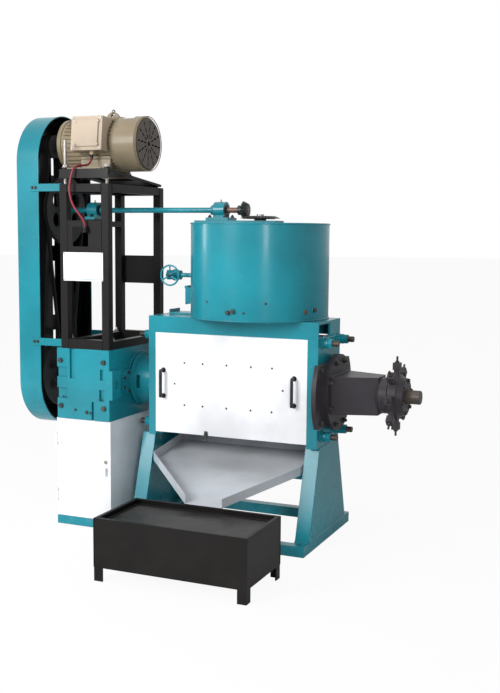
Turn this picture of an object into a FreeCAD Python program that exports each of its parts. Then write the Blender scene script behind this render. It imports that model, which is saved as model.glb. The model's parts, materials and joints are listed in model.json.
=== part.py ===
"""Screw oil press (oil expeller) with steam kettle, reduction gearbox and overhead belt drive.

Frame: millimetres, +X towards the cake discharge, +Y to the rear, +Z up.
The origin is on the floor, at the centre of the four foundation bolt holes, under the worm axis.
"""
import FreeCAD, Part
import math
import os

V = FreeCAD.Vector
X_AXIS = V(1, 0, 0)
Y_AXIS = V(0, 1, 0)
Z_AXIS = V(0, 0, 1)

# ---------------------------------------------------------------- driving dimensions
running_clearance = 0.05        # radial, shafts in their bearings
free_clearance = 0.4            # between pieces that move past each other

# press frame
leg_spacing = 885.0             # between the leg centres
leg_width = 70.0
leg_height = 480.0
leg_top_depth = 280.0
leg_foot_depth = 540.0
leg_plate = 10.0
base_height = 50.0
base_depth = 680.0
base_bar = 50.0
foundation_hole = 18.0
foundation_inset = 40.0         # foundation bolts from the front and rear ends of the base
left_frame_face = -422.5
end_plate_thickness = 50.0
end_plate_depth = 280.0
beam_bottom = 1000.0
beam_height = 82.0
beam_plate = 12.0
beam_front = -180.0
beam_window = 14.0
post_left_width = 38.0
post_right_width = 53.0
post_plate = 40.0
cover_thickness = 3.0
cover_bottom = 498.0
cover_lip = 18.0
cover_gap = 0.3
handle_bottom = 676.0
handle_length = 142.0
handle_reach = 38.0

# worm axis and pressing cage
worm_height = 735.0
worm_shaft_radius = 35.0
worm_outer_radius = 70.0
shaft_end_x = 927.5
shaft_end_radius = 33.0         # turned stub past the end cover
shaft_end_length = 60.0
bar_inner_radius = 73.0
bar_thickness = 12.0
bar_count = 30
bar_gap = 2.0
cage_outer_radius = 120.0
cage_rib = 24.0
cage_rib_count = 7
cage_flange_reach = 138.0
cage_flange = 16.0
worm_count = 6
worm_flight = 12.0
worm_first_core = 40.0
worm_last_core = 56.0
worm_start_x = -350.0
worm_end_x = 400.0
tie_radius = 14.0
tie_nut_radius = 24.0
tie_nut_length = 50.0
tie_tip = 30.0
tie_side = 115.0
tie_low = 533.0
tie_high = 982.0

# thrust housing between the gearbox and the left end plate
thrust_radius = 135.0
thrust_bearing_radius = 75.0
thrust_bearing_length = 60.0

# discharge housing and choke
flange_radius = 270.0
flange_half_height = 150.0
flange_thickness = 22.0
hub_flange_radius = 185.0
hub_flange_thickness = 28.0
housing_length = 260.0
housing_half_height = 90.0
housing_wide = 130.0
housing_narrow = 62.0
housing_wall = 12.0
neck_radius = 62.0
neck_length = 91.7
neck_collar_radius = 86.0
neck_collar_length = 44.0
sleeve_radius = 48.0
choke_radius = 66.0
choke_travel = 12.0
spider_radius = 105.0
spider_thickness = 40.0
spider_arm_count = 8
spider_arm_reach = 160.0
spider_stud_reach = 190.0
end_cover_radius = 100.0
end_cover_thickness = 30.0
spider_stand_off = 52.0         # housing end to the spider

# gearbox and its pedestal
gearbox_left = -872.5
gearbox_length = 305.0
gearbox_front = -325.0
gearbox_depth = 570.0
gearbox_below_axis = 183.0
gearbox_height = 359.0
gearbox_end_wall = 30.0
gearbox_wall = 25.0
gearbox_floor = 18.0
gearbox_web = 20.0
gear_module = 5.0
pinion_teeth = 12
gear_teeth = 48
first_stage_face = 56.0
second_stage_face = 76.0
gear_side_gap = 6.0
input_shaft_radius = 20.0
layshaft_radius = 22.0
bearing_width = 18.0
bearing_wall = 20.0
cap_radius = 62.0
cap_thickness = 10.0
pedestal_left = -880.5
pedestal_length = 318.0
plinth_height = 43.0
sheet = 4.0
door_gap = 3.0
hinge_pin_radius = 4.0
door_margin = 18.0

# motor stand
stand_left = -845.5
stand_length = 279.0
stand_post = 40.0
stand_over_line = 123.0         # top of the stand above the line shaft
stand_cross_low = 342.0         # front cross plate below the stand's top
stand_cross_high = 180.0
stand_plate = 5.0
cut_out_width = 90.0
cut_out_height = 96.0

# motor on its tilting base
motor_tilt = 5.8
tilt_pin_radius = 5.0
tilt_barrel_radius = 9.0
tilt_barrel_length = 60.0
tilt_pin_rise = 10.0
tilt_pin_inset = 12.0
base_plate = 12.0
base_skirt = 46.0
motor_front_reach = 560.0
motor_reach = 292.0             # hinge pin to motor shaft, along the base
motor_shaft_height = 165.0
motor_radius = 128.0
motor_fin = 11.0
motor_fin_count = 40
motor_drive_end = -962.0
motor_frame_end = -629.5
cowl_end = -496.5
cowl_radius = 138.0
cowl_sheet = 3.0
rotor_radius = 75.0
motor_shaft_radius = 19.0
foot_spacing = 216.0
foot_length = 60.0
terminal_width = 179.0
terminal_height = 170.0
terminal_left = -838.0
terminal_reach = 190.0
terminal_drop = 59.0
terminal_gland = 16.0
screw_radius = 8.0
screw_inset = 24.0
left_screw_length = 216.0
right_screw_length = 94.0
screw_nut = 10.0

# belt drive and its guard
guard_open_x = -1002.5
guard_width = 130.0
guard_radius = 245.0
guard_centre_y = -35.0
guard_below_input = 260.0
guard_over_stand = 362.0
guard_sheet = 3.0
vent_count = 7
belt_width = 16.0
belt_thickness = 10.0
belt_pitch = 19.0
main_belt_count = 3
motor_pulley_radius = 60.0
input_pulley_radius = 180.0
line_drive_radius = 45.0
line_pulley_radius = 180.0
main_belt_x = -1068.0           # nearest main belt to the motor
line_belt_x = -1030.0
bracket_height = 38.0

# line shaft, bevel gears and kettle
line_rise = 51.0                # line shaft above the kettle bridge
line_radius = 13.5
block_half_width = 30.0
block_radius = 41.0
block_foot_depth = 110.0
kettle_block_inset = 212.0      # kettle axis to the right pillow block
kettle_block_foot = 60.0
bevel_module = 5.0
bevel_pinion_teeth = 16
crown_teeth = 36
bevel_face = 28.0
kettle_x = 102.5
kettle_radius = 341.0
kettle_height = 463.0
kettle_wall = 6.0
pan_radius = 300.0
pan_floor = 62.0
pan_wall = 8.0
outlet_x = -145.0
outlet_size = 80.0
gate_thickness = 10.0
gate_pull_reach = 135.0
bridge_width = 110.0
bridge_thickness = 12.0
bridge_end = 205.0
stirrer_radius = 18.0
blade_clearance = 8.0
blade_height = 44.0
valve_over_sample = 61.0
valve_pipe_radius = 11.0
valve_body_radius = 24.0
valve_x = -364.0
handwheel_radius = 50.0
handwheel_rim = 4.5
sample_rise = 56.0
sample_height = 81.0
sample_width = 80.0
sample_reach = 46.0

# oil tray and catch box
tray_lip_y = -655.0
tray_lip_z = 284.0
tray_slope = 0.14
tray_sheet = 3.0
tray_wall = 42.0
tray_left = -392.0
tray_right = 400.0
tray_lip_left = 22.0
tray_lip_right = 207.0
tray_rear = 135.0
tray_bend = -190.0
tray_rail_front = -150.0
tray_rail_rear = 110.0
tray_rail = 28.0
box_left = -239.5
box_length = 717.0
box_front = -1003.0
box_depth = 366.0
box_bottom = 60.0
box_top = 278.0
box_wall = 4.0
box_leg = 42.0

# motor cable from the terminal box to the gland on the stand
cable_radius = 5.0
cable_gap = 0.3
stand_gland_x = -688.0
gland_below_top = 219.0

# ---------------------------------------------------------------- derived places
right_frame_face = leg_spacing / 2 + leg_width / 2
left_foot_face = -right_frame_face
beam_top = beam_bottom + beam_height
beam_rear = end_plate_depth / 2
left_inner_face = left_frame_face + end_plate_thickness
right_inner_face = right_frame_face - end_plate_thickness
cover_left = left_frame_face + post_left_width
cover_right = right_frame_face - post_right_width
cage_bore = bar_inner_radius + bar_thickness
gearbox_right = gearbox_left + gearbox_length
gearbox_rear = gearbox_front + gearbox_depth
gearbox_bottom = worm_height - gearbox_below_axis
gearbox_top = gearbox_bottom + gearbox_height
gear_distance = gear_module * (pinion_teeth + gear_teeth) / 2
layshaft_y = -gear_distance
web_x = (gearbox_left + gearbox_right) / 2 - gearbox_web
shaft_inner_x = web_x + gearbox_web + 2.0
first_stage_x = web_x - gear_side_gap - bearing_width - first_stage_face
second_stage_x = web_x + gearbox_web + gear_side_gap + bearing_width
stand_right = stand_left + stand_length
stand_front = gearbox_front
stand_rear = gearbox_rear
kettle_top = beam_top + kettle_height
line_height = kettle_top + bridge_thickness + line_rise
stand_top = line_height + stand_over_line
stand_gland_z = stand_top - gland_below_top
tilt_pin_y = stand_rear - tilt_pin_inset
tilt_pin_z = stand_top + tilt_pin_rise
guard_back_x = guard_open_x - guard_width
guard_bottom = worm_height - guard_below_input
guard_top = stand_top + guard_over_stand
guard_low_z = guard_bottom + guard_radius
guard_high_z = guard_top - guard_radius
sample_bottom = beam_top + sample_rise
valve_height = sample_bottom + sample_height + valve_over_sample
bevel_ratio = crown_teeth / bevel_pinion_teeth
bevel_pinion_radius = bevel_module * bevel_pinion_teeth / 2
crown_radius = bevel_module * crown_teeth / 2
housing_start = right_frame_face
hub_flange_x = housing_start + flange_thickness
housing_x = hub_flange_x + hub_flange_thickness
neck_x = housing_start + housing_length
spider_x = neck_x + spider_stand_off
end_cover_x = spider_x + spider_thickness


# ---------------------------------------------------------------- helpers
def box(x0, x1, y0, y1, z0, z1):
    """A block between three pairs of planes."""
    return Part.makeBox(x1 - x0, y1 - y0, z1 - z0, V(x0, y0, z0))


def x_cylinder(radius, x0, x1, y=0.0, z=worm_height):
    """A cylinder along X."""
    return Part.makeCylinder(radius, x1 - x0, V(x0, y, z), X_AXIS)


def y_cylinder(radius, y0, y1, x, z):
    """A cylinder along Y."""
    return Part.makeCylinder(radius, y1 - y0, V(x, y0, z), Y_AXIS)


def z_cylinder(radius, z0, z1, x, y):
    """A cylinder along Z."""
    return Part.makeCylinder(radius, z1 - z0, V(x, y, z0), Z_AXIS)


def x_ring(outer, inner, x0, x1, y=0.0, z=worm_height):
    """A ring about an X axis."""
    return x_cylinder(outer, x0, x1, y, z).cut(x_cylinder(inner, x0, x1, y, z))


def hexagon(radius, x0, x1, y, z):
    """A hexagonal prism along X, radius to its corners."""
    points = [V(x0, y + radius * math.cos(math.radians(60 * i)), z + radius * math.sin(math.radians(60 * i)))
              for i in range(7)]
    return Part.Face(Part.makePolygon(points)).extrude(V(x1 - x0, 0, 0))


def prism(points, direction):
    """Extrude the closed polygon through points along direction."""
    outline = Part.makePolygon(points + [points[0]])
    return Part.Face(outline).extrude(direction)


def fuse(shapes):
    """Join shapes into one solid without seam faces."""
    first = shapes[0]
    if len(shapes) == 1:
        return first
    return first.multiFuse(shapes[1:]).removeSplitter()


def cut(shape, tools):
    """Remove every tool from shape."""
    for tool in tools:
        shape = shape.cut(tool)
    return shape


def turned(shape, angle, centre, axis):
    """A copy of shape turned about an axis through centre."""
    copy = shape.copy()
    copy.rotate(centre, axis, angle)
    return copy


def save(name, shapes):
    """Write one node: a single solid, or a group of separate solids."""
    solids = [solid for shape in shapes for solid in shape.Solids]
    result = solids[0] if len(solids) == 1 else Part.makeCompound(solids)
    result.exportStep("parts/" + name + ".step")
    print(name, len(solids), round(sum(solid.Volume for solid in solids) / 1000.0, 1), result.isValid())


# ---------------------------------------------------------------- frame
def base_frame():
    """Welded rectangle of bars on the floor, with four foundation holes."""
    outer = box(left_foot_face, right_frame_face, -base_depth / 2, base_depth / 2, 0, base_height)
    inner = box(left_foot_face + leg_width, right_frame_face - leg_width,
                -base_depth / 2 + base_bar, base_depth / 2 - base_bar, 0, base_height)
    reach = base_depth / 2 - foundation_inset
    holes = [z_cylinder(foundation_hole / 2, 0, base_height, x, y)
             for x in (-leg_spacing / 2, leg_spacing / 2) for y in (-reach, reach)]
    return cut(outer.cut(inner), holes)


def leg(centre, outer_side):
    """A trapezoid leg: one outer side plate, two flanges and a top plate. outer_side is -1 or 1."""
    def outline(x, inset):
        top = leg_top_depth / 2 - inset
        foot = leg_foot_depth / 2 - inset
        return [V(x, -foot, base_height), V(x, foot, base_height), V(x, top, leg_height), V(x, -top, leg_height)]

    low = centre - leg_width / 2
    whole = prism(outline(low, 0), V(leg_width, 0, 0))
    inside = prism(outline(low, leg_plate), V(leg_width, 0, 0))
    inside.translate(V(-outer_side * leg_plate, 0, -leg_plate))
    return whole.cut(inside)


def end_plate(x0, x1, post_x0, post_x1):
    """Cast end plate of the pressing section with the front post on its edge."""
    plate = box(x0, x1, -end_plate_depth / 2, end_plate_depth / 2, leg_height, beam_bottom)
    post = box(post_x0, post_x1, beam_front, -end_plate_depth / 2, leg_height, beam_bottom)
    bore = x_cylinder(cage_bore, x0, x1)
    ties = [x_cylinder(tie_radius, x0, x1, y, z) for y, z in tie_places()]
    return cut(fuse([plate, post]), [bore] + ties)


def tie_places():
    """Centres of the four tie rods."""
    return [(side * tie_side, z) for side in (-1, 1) for z in (tie_low, tie_high)]


def tie_rods():
    """Four rods that hold the end plates together, threaded past their nuts."""
    reach = tie_nut_length + tie_tip
    return [x_cylinder(tie_radius, left_frame_face - reach, right_frame_face + reach, y, z)
            for y, z in tie_places()]


def tie_rod_nuts():
    """Long round nuts with a hexagon on both ends of each tie rod."""
    nuts = []
    for y, z in tie_places():
        for face, side in ((left_frame_face, -1), (right_frame_face, 1)):
            middle = face + side * tie_nut_length * 0.55
            end = face + side * tie_nut_length
            collar = x_cylinder(tie_nut_radius, min(face, middle), max(face, middle), y, z)
            grip = hexagon(tie_nut_radius, min(middle, end), max(middle, end), y, z)
            nuts.append(fuse([collar, grip]).cut(x_cylinder(tie_radius, min(face, end), max(face, end), y, z)))
    return nuts


def top_beam():
    """Welded beam over the cage: top plate with the feed hole, and four skirts with an end window."""
    skirt_top = beam_top - beam_plate
    left, right = left_frame_face + leg_plate, right_frame_face - leg_plate
    top = box(left_frame_face, right_frame_face, beam_front, beam_rear, skirt_top, beam_top)
    front = box(left_frame_face, right_frame_face, beam_front, beam_front + leg_plate, beam_bottom, skirt_top)
    rear = box(left_frame_face, right_frame_face, beam_rear - leg_plate, beam_rear, beam_bottom, skirt_top)
    ends = [box(x0, x1, beam_front + leg_plate, beam_rear - leg_plate, beam_bottom, skirt_top)
            for x0, x1 in ((left_frame_face, left), (right, right_frame_face))]
    window = box(right, right_frame_face, beam_front + leg_plate, -beam_window, beam_bottom + beam_window, skirt_top)
    return [top.cut(feed_square(outlet_size / 2, beam_bottom, beam_top)), front, rear, ends[0], ends[1].cut(window)]


def feed_square(half, z0, z1):
    """The square feed passage, from the kettle floor down to the worm."""
    return box(outlet_x - half, outlet_x + half, -half, half, z0, z1)


def front_cover():
    """Lift-off sheet over the cage, with folded lips at the top and bottom."""
    left = cover_left + cover_gap
    right = cover_right - cover_gap
    top = beam_bottom - cover_gap
    sheet_face = box(left, right, beam_front, beam_front + cover_thickness, cover_bottom, top)
    lips = [box(left, right, beam_front, beam_front + cover_lip, z, z + cover_thickness)
            for z in (cover_bottom, top - cover_thickness)]
    return fuse([sheet_face] + lips)


def cover_handles():
    """Two black D-handles on the cover."""
    handles = []
    y0, y1 = beam_front - handle_reach, beam_front
    for x in (cover_left + 45, cover_right - 65):
        bow = box(x - 6, x + 6, y0, y1, handle_bottom, handle_bottom + handle_length)
        gap = box(x - 6, x + 6, y0 + 11, y1, handle_bottom + 12, handle_bottom + handle_length - 12)
        corners = [edge for edge in bow.Edges if abs(edge.BoundBox.YMax - y0) < 0.1 and edge.Length < 13]
        handles.append(bow.makeFillet(9, corners).cut(gap))
    return handles


# ---------------------------------------------------------------- pressing section
def cage_half(upper):
    """Upper or lower half of the ribbed cage around the drainage bars."""
    start, end = left_inner_face, right_inner_face
    pitch = (end - start - cage_rib) / (cage_rib_count - 1)
    ribs = [x_ring(cage_outer_radius, cage_bore, start + i * pitch, start + i * pitch + cage_rib)
            for i in range(cage_rib_count)]
    joints = [box(start, end, side * cage_bore - 12, side * cage_bore + 12, worm_height - cage_flange,
                  worm_height + cage_flange).cut(x_cylinder(cage_bore, start, end)) for side in (-1, 1)]
    ears = [box(start + i * pitch, start + i * pitch + cage_rib, -cage_flange_reach, cage_flange_reach,
                worm_height - cage_flange, worm_height + cage_flange).cut(x_cylinder(cage_bore, start, end))
            for i in range(cage_rib_count)]
    top_rail = box(start, end, -12, 12, worm_height + cage_bore, worm_height + cage_outer_radius)
    low_rail = box(start, end, -12, 12, worm_height - cage_outer_radius, worm_height - cage_bore)
    whole = fuse(ribs + joints + ears + [top_rail, low_rail])
    if upper:
        keep = box(start, end, -200, 200, worm_height, worm_height + 200)
        whole = whole.cut(feed_square(outlet_size / 2, worm_height, worm_height + 200))
    else:
        keep = box(start, end, -200, 200, worm_height - 200, worm_height)
    return whole.common(keep).cut(fuse(cage_bolt_shanks()))


def cage_bolt_places():
    """Centres of the bolts through the cage flanges."""
    pitch = (right_inner_face - left_inner_face - cage_rib) / (cage_rib_count - 1)
    return [(left_inner_face + cage_rib / 2 + i * pitch, side * (cage_flange_reach - 10))
            for i in range(cage_rib_count) for side in (-1, 1)]


def cage_bolt_shanks():
    """The bolt holes of the cage flanges, filled."""
    return [z_cylinder(6, worm_height - cage_flange, worm_height + cage_flange, x, y)
            for x, y in cage_bolt_places()]


def cage_bolts():
    """Bolts with a head on top and a nut below each cage flange."""
    bolts = []
    for x, y in cage_bolt_places():
        shank = z_cylinder(6, worm_height - cage_flange - 9, worm_height + cage_flange + 8, x, y)
        ends = [z_hexagon(10, z, z + 8, x, y) for z in (worm_height - cage_flange - 8, worm_height + cage_flange)]
        bolts.append(fuse([shank] + ends))
    return bolts


def z_hexagon(radius, z0, z1, x, y):
    """A hexagonal prism along Z, radius to its corners."""
    points = [V(x + radius * math.cos(math.radians(60 * i)), y + radius * math.sin(math.radians(60 * i)), z0)
              for i in range(6)]
    return prism(points, V(0, 0, z1 - z0))


def drainage_bars():
    """Straight bars around the worm, with drainage gaps between them, left out under the feed throat."""
    bars = []
    outer = bar_inner_radius + bar_thickness
    width = 2 * math.pi * bar_inner_radius / bar_count - bar_gap
    for i in range(bar_count):
        angle = 360.0 * (i + 0.5) / bar_count
        spans = [(left_inner_face, right_inner_face)]
        if abs(angle - 90) < math.degrees(math.asin(outlet_size / 2 / bar_inner_radius)) + 8:
            half = outlet_size / 2
            spans = [(left_inner_face, outlet_x - half), (outlet_x + half, right_inner_face)]
        reach = math.sqrt(outer ** 2 - (width / 2) ** 2)
        for start, end in spans:
            bar = box(start, end, bar_inner_radius, reach, worm_height - width / 2, worm_height + width / 2)
            bars.append(turned(bar, angle, V(0, 0, worm_height), X_AXIS))
    return bars


def feed_throat():
    """Square chute from the top beam down into the cage."""
    low = worm_height + math.sqrt(cage_bore ** 2 - (outlet_size / 2) ** 2)
    half = outlet_size / 2
    tube = feed_square(half, low, beam_top - beam_plate).cut(feed_square(half - 5, low, beam_top - beam_plate))
    flange = feed_square(half + 18, beam_top - beam_plate - 6, beam_top - beam_plate)
    flange = flange.cut(feed_square(half - 5, beam_bottom, beam_top))
    return fuse([tube, flange])


def worm_shaft():
    """Main shaft from the output gear to the discharge end, with its turned stub."""
    shoulder = shaft_end_x - shaft_end_length
    stub = x_cylinder(shaft_end_radius, shoulder, shaft_end_x)
    rim = [edge for edge in stub.Edges if edge.BoundBox.XMin > shaft_end_x - 1 and edge.Length > 100]
    return x_cylinder(worm_shaft_radius, shaft_inner_x, shoulder).fuse(stub.makeChamfer(3, rim)).removeSplitter()


def worm_segment(x0, length, core, turns):
    """One worm: a core with a helical flight made of flat facets."""
    steps = int(round(18 * turns))
    advance = (length - worm_flight) / steps
    sections = []
    for i in range(steps + 1):
        angle = 2 * math.pi * i / 18
        x = x0 + i * advance
        sections.append([V(x + dx, r * math.cos(angle), worm_height + r * math.sin(angle))
                         for dx, r in ((0, core - 4), (0, worm_outer_radius), (worm_flight, worm_outer_radius),
                                       (worm_flight, core - 4))])
    flight = facet_solid(sections)
    hub = x_cylinder(core, x0, x0 + length)
    return hub.fuse(flight).cut(x_cylinder(worm_shaft_radius, x0, x0 + length))


def facet_solid(sections):
    """A closed solid through equal sections, skinned with triangles."""
    faces = [polygon_face(list(reversed(sections[0]))), polygon_face(sections[-1])]
    count = len(sections[0])
    for near, far in zip(sections, sections[1:]):
        for k in range(count):
            n = (k + 1) % count
            faces.append(polygon_face([near[k], near[n], far[n]]))
            faces.append(polygon_face([near[k], far[n], far[k]]))
    shell = Part.makeShell(faces)
    solid = Part.makeSolid(shell)
    if solid.Volume < 0:
        solid.reverse()
    return solid


def polygon_face(points):
    """A flat face through points."""
    return Part.Face(Part.makePolygon(points + [points[0]]))


def worm_segments():
    """Worms on the shaft, with a growing core and a shrinking pitch towards the discharge."""
    weights = [1.0 - 0.09 * i for i in range(worm_count)]
    unit = (worm_end_x - worm_start_x) / sum(weights)
    worms = []
    x = worm_start_x
    for i, weight in enumerate(weights):
        core = worm_first_core + (worm_last_core - worm_first_core) * i / (worm_count - 1)
        worms.append(worm_segment(x, weight * unit, core, 1.15))
        x += weight * unit
    return worms


# ---------------------------------------------------------------- thrust housing and discharge end
def thrust_housing():
    """Round housing of the thrust bearing, bolted to the left end plate."""
    left = gearbox_right + cap_thickness
    body = x_cylinder(thrust_radius, left, left_frame_face)
    rim = x_cylinder(thrust_radius + 6, left, left + 24)
    neck = x_cylinder(cap_radius, gearbox_right, left)
    seat = x_cylinder(thrust_bearing_radius, left_frame_face - thrust_bearing_length - 30, left_frame_face)
    bore = x_cylinder(worm_shaft_radius + running_clearance, gearbox_right, left_frame_face)
    window = box(left + 34, left + 54, -thrust_radius, -thrust_bearing_radius - 20, worm_height - 34,
                 worm_height + 34)
    return cut(fuse([body, rim, neck]), [seat, bore, window])


def thrust_bearing():
    """Thrust bearing cartridge in its housing, held on the shaft by a running fit."""
    start = left_frame_face - thrust_bearing_length - 30
    return x_ring(thrust_bearing_radius, worm_shaft_radius + running_clearance, start,
                  start + thrust_bearing_length)


def housing_outline(x0, x1, wide, narrow, half_height):
    """A tapered block about the worm axis, wide at x0 and narrow at x1."""
    points = [V(x0, -wide, worm_height - half_height), V(x1, -narrow, worm_height - half_height),
              V(x1, narrow, worm_height - half_height), V(x0, wide, worm_height - half_height)]
    return prism(points, V(0, 0, 2 * half_height))


def discharge_housing():
    """Black casting on the right end plate: cut round flange, hub, tapered box and threaded neck."""
    flange = x_cylinder(flange_radius, housing_start, hub_flange_x)
    limits = box(housing_start, hub_flange_x, -300, 300, worm_height - flange_half_height,
                 worm_height + flange_half_height)
    hub = x_cylinder(hub_flange_radius, hub_flange_x, housing_x)
    tapered = housing_outline(housing_x, neck_x, housing_wide, housing_narrow, housing_half_height)
    neck = fuse([x_cylinder(neck_radius, neck_x, neck_x + neck_length),
                 x_cylinder(neck_collar_radius, neck_x, neck_x + neck_collar_length)])
    chamber = housing_outline(housing_start, neck_x - housing_wall - 20, housing_wide - housing_wall,
                              housing_narrow - housing_wall / 2, housing_half_height - housing_wall)
    outlet = housing_outline(housing_x + 20, neck_x - 50, housing_wide - 34, housing_narrow - 10,
                             housing_half_height)
    outlet.translate(V(0, 0, -housing_wall))
    bore = x_cylinder(sleeve_radius + running_clearance, housing_start, neck_x + neck_length)
    shanks = [x_cylinder(8, housing_start, hub_flange_x, y, z) for y, z in flange_bolt_places()]
    whole = fuse([flange.common(limits), hub, tapered, neck])
    return cut(whole, [chamber, outlet, bore] + shanks)


def flange_bolt_places():
    """Centres of the bolts of the discharge flange."""
    return [(side * 195.0, worm_height + up * 125.0) for side in (-1, 1) for up in (-1, 1)]


def choke_sleeve():
    """Sliding sleeve on the worm shaft with the choke cone at its inner end."""
    inner_x = right_inner_face + 18
    outer_x = end_cover_x - 0.5
    tube = x_cylinder(sleeve_radius, inner_x + 40, outer_x)
    cone = Part.makeCone(choke_radius - 10, choke_radius, 26, V(inner_x, 0, worm_height), X_AXIS)
    land = x_cylinder(choke_radius, inner_x + 26, inner_x + 44)
    bore = x_cylinder(worm_shaft_radius + running_clearance, inner_x, outer_x)
    return cut(fuse([tube, cone, land]), [bore])


def adjusting_spider():
    """Capstan nut around the housing neck, with eight bossed arms."""
    ring = x_cylinder(spider_radius, spider_x, spider_x + spider_thickness)
    arms = []
    for i in range(spider_arm_count):
        arm = box(spider_x + 8, spider_x + spider_thickness - 8, -14, 14, worm_height + spider_radius - 8,
                  worm_height + spider_arm_reach)
        boss = box(spider_x + 3, spider_x + spider_thickness - 3, -19, 19,
                   worm_height + spider_arm_reach - 34, worm_height + spider_arm_reach)
        arms.append(turned(fuse([arm, boss]), 45.0 * i, V(0, 0, worm_height), X_AXIS))
    bore = x_cylinder(neck_radius + free_clearance, spider_x, end_cover_x)
    return cut(fuse([ring] + arms), [bore] + spider_studs(True))


def spider_studs(as_holes=False):
    """Studs in the spider's bosses, or their holes."""
    start = spider_arm_reach - 30
    reach = spider_arm_reach if as_holes else spider_stud_reach
    stud = z_cylinder(5, worm_height + start, worm_height + reach, spider_x + spider_thickness / 2, 0)
    return [turned(stud, 360.0 * i / spider_arm_count, V(0, 0, worm_height), X_AXIS)
            for i in range(spider_arm_count)]


def end_cover():
    """Round cover on the outside of the spider, around the shaft end."""
    end = end_cover_x + end_cover_thickness
    cover = Part.makeCone(end_cover_radius, end_cover_radius - 14, end_cover_thickness,
                          V(end_cover_x, 0, worm_height), X_AXIS)
    return cover.cut(x_cylinder(worm_shaft_radius + free_clearance, end_cover_x, end))


# ---------------------------------------------------------------- gearbox
def gear_outline(teeth, addendum, dedendum, phase, x, y, z):
    """Points of an involute spur gear in the YZ plane; phase is in tooth pitches."""
    pitch_radius = gear_module * teeth / 2
    base_radius = pitch_radius * math.cos(math.radians(20))
    tip = pitch_radius + addendum
    root = pitch_radius - dedendum
    low = max(base_radius, root + 0.01)
    backlash = 0.08 * gear_module
    radii = [root] + [low + (tip - low) * k / 4 for k in range(5)]

    def half_angle(radius):
        pressure = math.acos(min(1.0, base_radius / max(radius, base_radius)))
        start = math.radians(20)
        thickness = math.pi * gear_module / 2 - backlash
        return (thickness / (2 * pitch_radius) + math.tan(start) - start - math.tan(pressure) + pressure)

    points = []
    for i in range(teeth):
        centre = 2 * math.pi * (i + phase) / teeth
        for side, order in ((-1, radii), (1, radii[::-1])):
            for radius in order:
                angle = centre + side * half_angle(radius)
                points.append(V(x, y + radius * math.cos(angle), z + radius * math.sin(angle)))
    return points


def spur_gear(teeth, x0, face, y, phase):
    """A spur gear or pinion; large gears have stub teeth so that the small pinions run freely."""
    short = teeth > 20
    addendum = (0.75 if short else 1.0) * gear_module
    dedendum = (1.25 if short else 1.0) * gear_module
    return prism(gear_outline(teeth, addendum, dedendum, phase, x0, y, worm_height), V(face, 0, 0))


def bearing_bores():
    """Bearing seats of the case: (x start, x end, y, shaft radius)."""
    left = gearbox_left + (gearbox_end_wall - bearing_width) / 2
    right = gearbox_right - (gearbox_end_wall + bearing_width) / 2
    web = web_x + gearbox_web
    return [(left, left + bearing_width, 0, input_shaft_radius),
            (left, left + bearing_width, layshaft_y, layshaft_radius),
            (web_x - bearing_width, web_x, 0, input_shaft_radius),
            (web, web + bearing_width, 0, worm_shaft_radius),
            (right, right + bearing_width, 0, worm_shaft_radius),
            (right, right + bearing_width, layshaft_y, layshaft_radius)]


def gearbox_bearings():
    """Bearing rings between the case and the three shafts."""
    return [x_ring(shaft + bearing_wall, shaft + running_clearance, x0, x1, y)
            for x0, x1, y, shaft in bearing_bores()]


def gearbox_case():
    """The whole case before it is split: walls, middle web, bearing bosses and cast pockets."""
    outer = box(gearbox_left, gearbox_right, gearbox_front, gearbox_rear, gearbox_bottom, gearbox_top)
    hall = [box(x0, x1, gearbox_front + gearbox_wall, gearbox_rear - gearbox_wall,
                gearbox_bottom + gearbox_floor, gearbox_top - gearbox_floor)
            for x0, x1 in ((gearbox_left + gearbox_end_wall, web_x),
                           (web_x + gearbox_web, gearbox_right - gearbox_end_wall))]
    boss_left = x_cylinder(input_shaft_radius + bearing_wall + 10, web_x - bearing_width, web_x)
    boss_right = x_cylinder(worm_shaft_radius + bearing_wall + 10, web_x + gearbox_web,
                            web_x + gearbox_web + bearing_width)
    lug = box(gearbox_right, gearbox_right + 18, gearbox_front, gearbox_front + 85, worm_height - 73,
              worm_height + 73)
    lug_hole = x_cylinder(20, gearbox_right + 6, gearbox_right + 18, gearbox_front + 42)
    whole = fuse([cut(outer, hall), boss_left, boss_right, lug])
    seats = [x_cylinder(shaft + bearing_wall, x0, x1, y) for x0, x1, y, shaft in bearing_bores()]
    ways = [x_cylinder(input_shaft_radius + free_clearance, gearbox_left, web_x),
            x_cylinder(worm_shaft_radius + free_clearance, web_x + gearbox_web, gearbox_right),
            x_cylinder(layshaft_radius + free_clearance, gearbox_left, gearbox_right, layshaft_y)]
    return cut(whole, seats + ways + [lug_hole] + case_pockets())


def case_pockets():
    """Shallow cast pockets and grooves of the case front."""
    depth = 12.0
    low_edge = worm_height + 24
    spans = [(gearbox_left + 75, gearbox_left + 105, low_edge, gearbox_top),
             (gearbox_left, gearbox_left + 58, low_edge + 6, low_edge + 56),
             (gearbox_left, gearbox_left + 58, worm_height - 79, worm_height - 26),
             (gearbox_right - 52, gearbox_right - 30, low_edge, low_edge + 54),
             (gearbox_right - 58, gearbox_right - 30, worm_height - 82, worm_height - 25),
             (gearbox_right - 103, gearbox_right - 90, gearbox_bottom, worm_height - 89)]
    return [box(x0, x1, gearbox_front, gearbox_front + depth, z0, z1) for x0, x1, z0, z1 in spans]


def gearbox_half(upper):
    """Upper or lower half of the case, split through the shaft axes."""
    z0, z1 = (worm_height, gearbox_top) if upper else (gearbox_bottom, worm_height)
    keep = box(gearbox_left - 50, gearbox_right + 50, gearbox_front - 50, gearbox_rear + 50, z0, z1)
    return cut(gearbox_case().common(keep), [bolt_shank(x, z) for x, z in case_bolt_places()])


def case_bolt_places():
    """Centres (x, z) of the bolts in the case front."""
    return [(x, z) for x in (gearbox_left + 22, gearbox_right - 32) for z in (gearbox_bottom + 65, gearbox_top - 62)]


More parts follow.
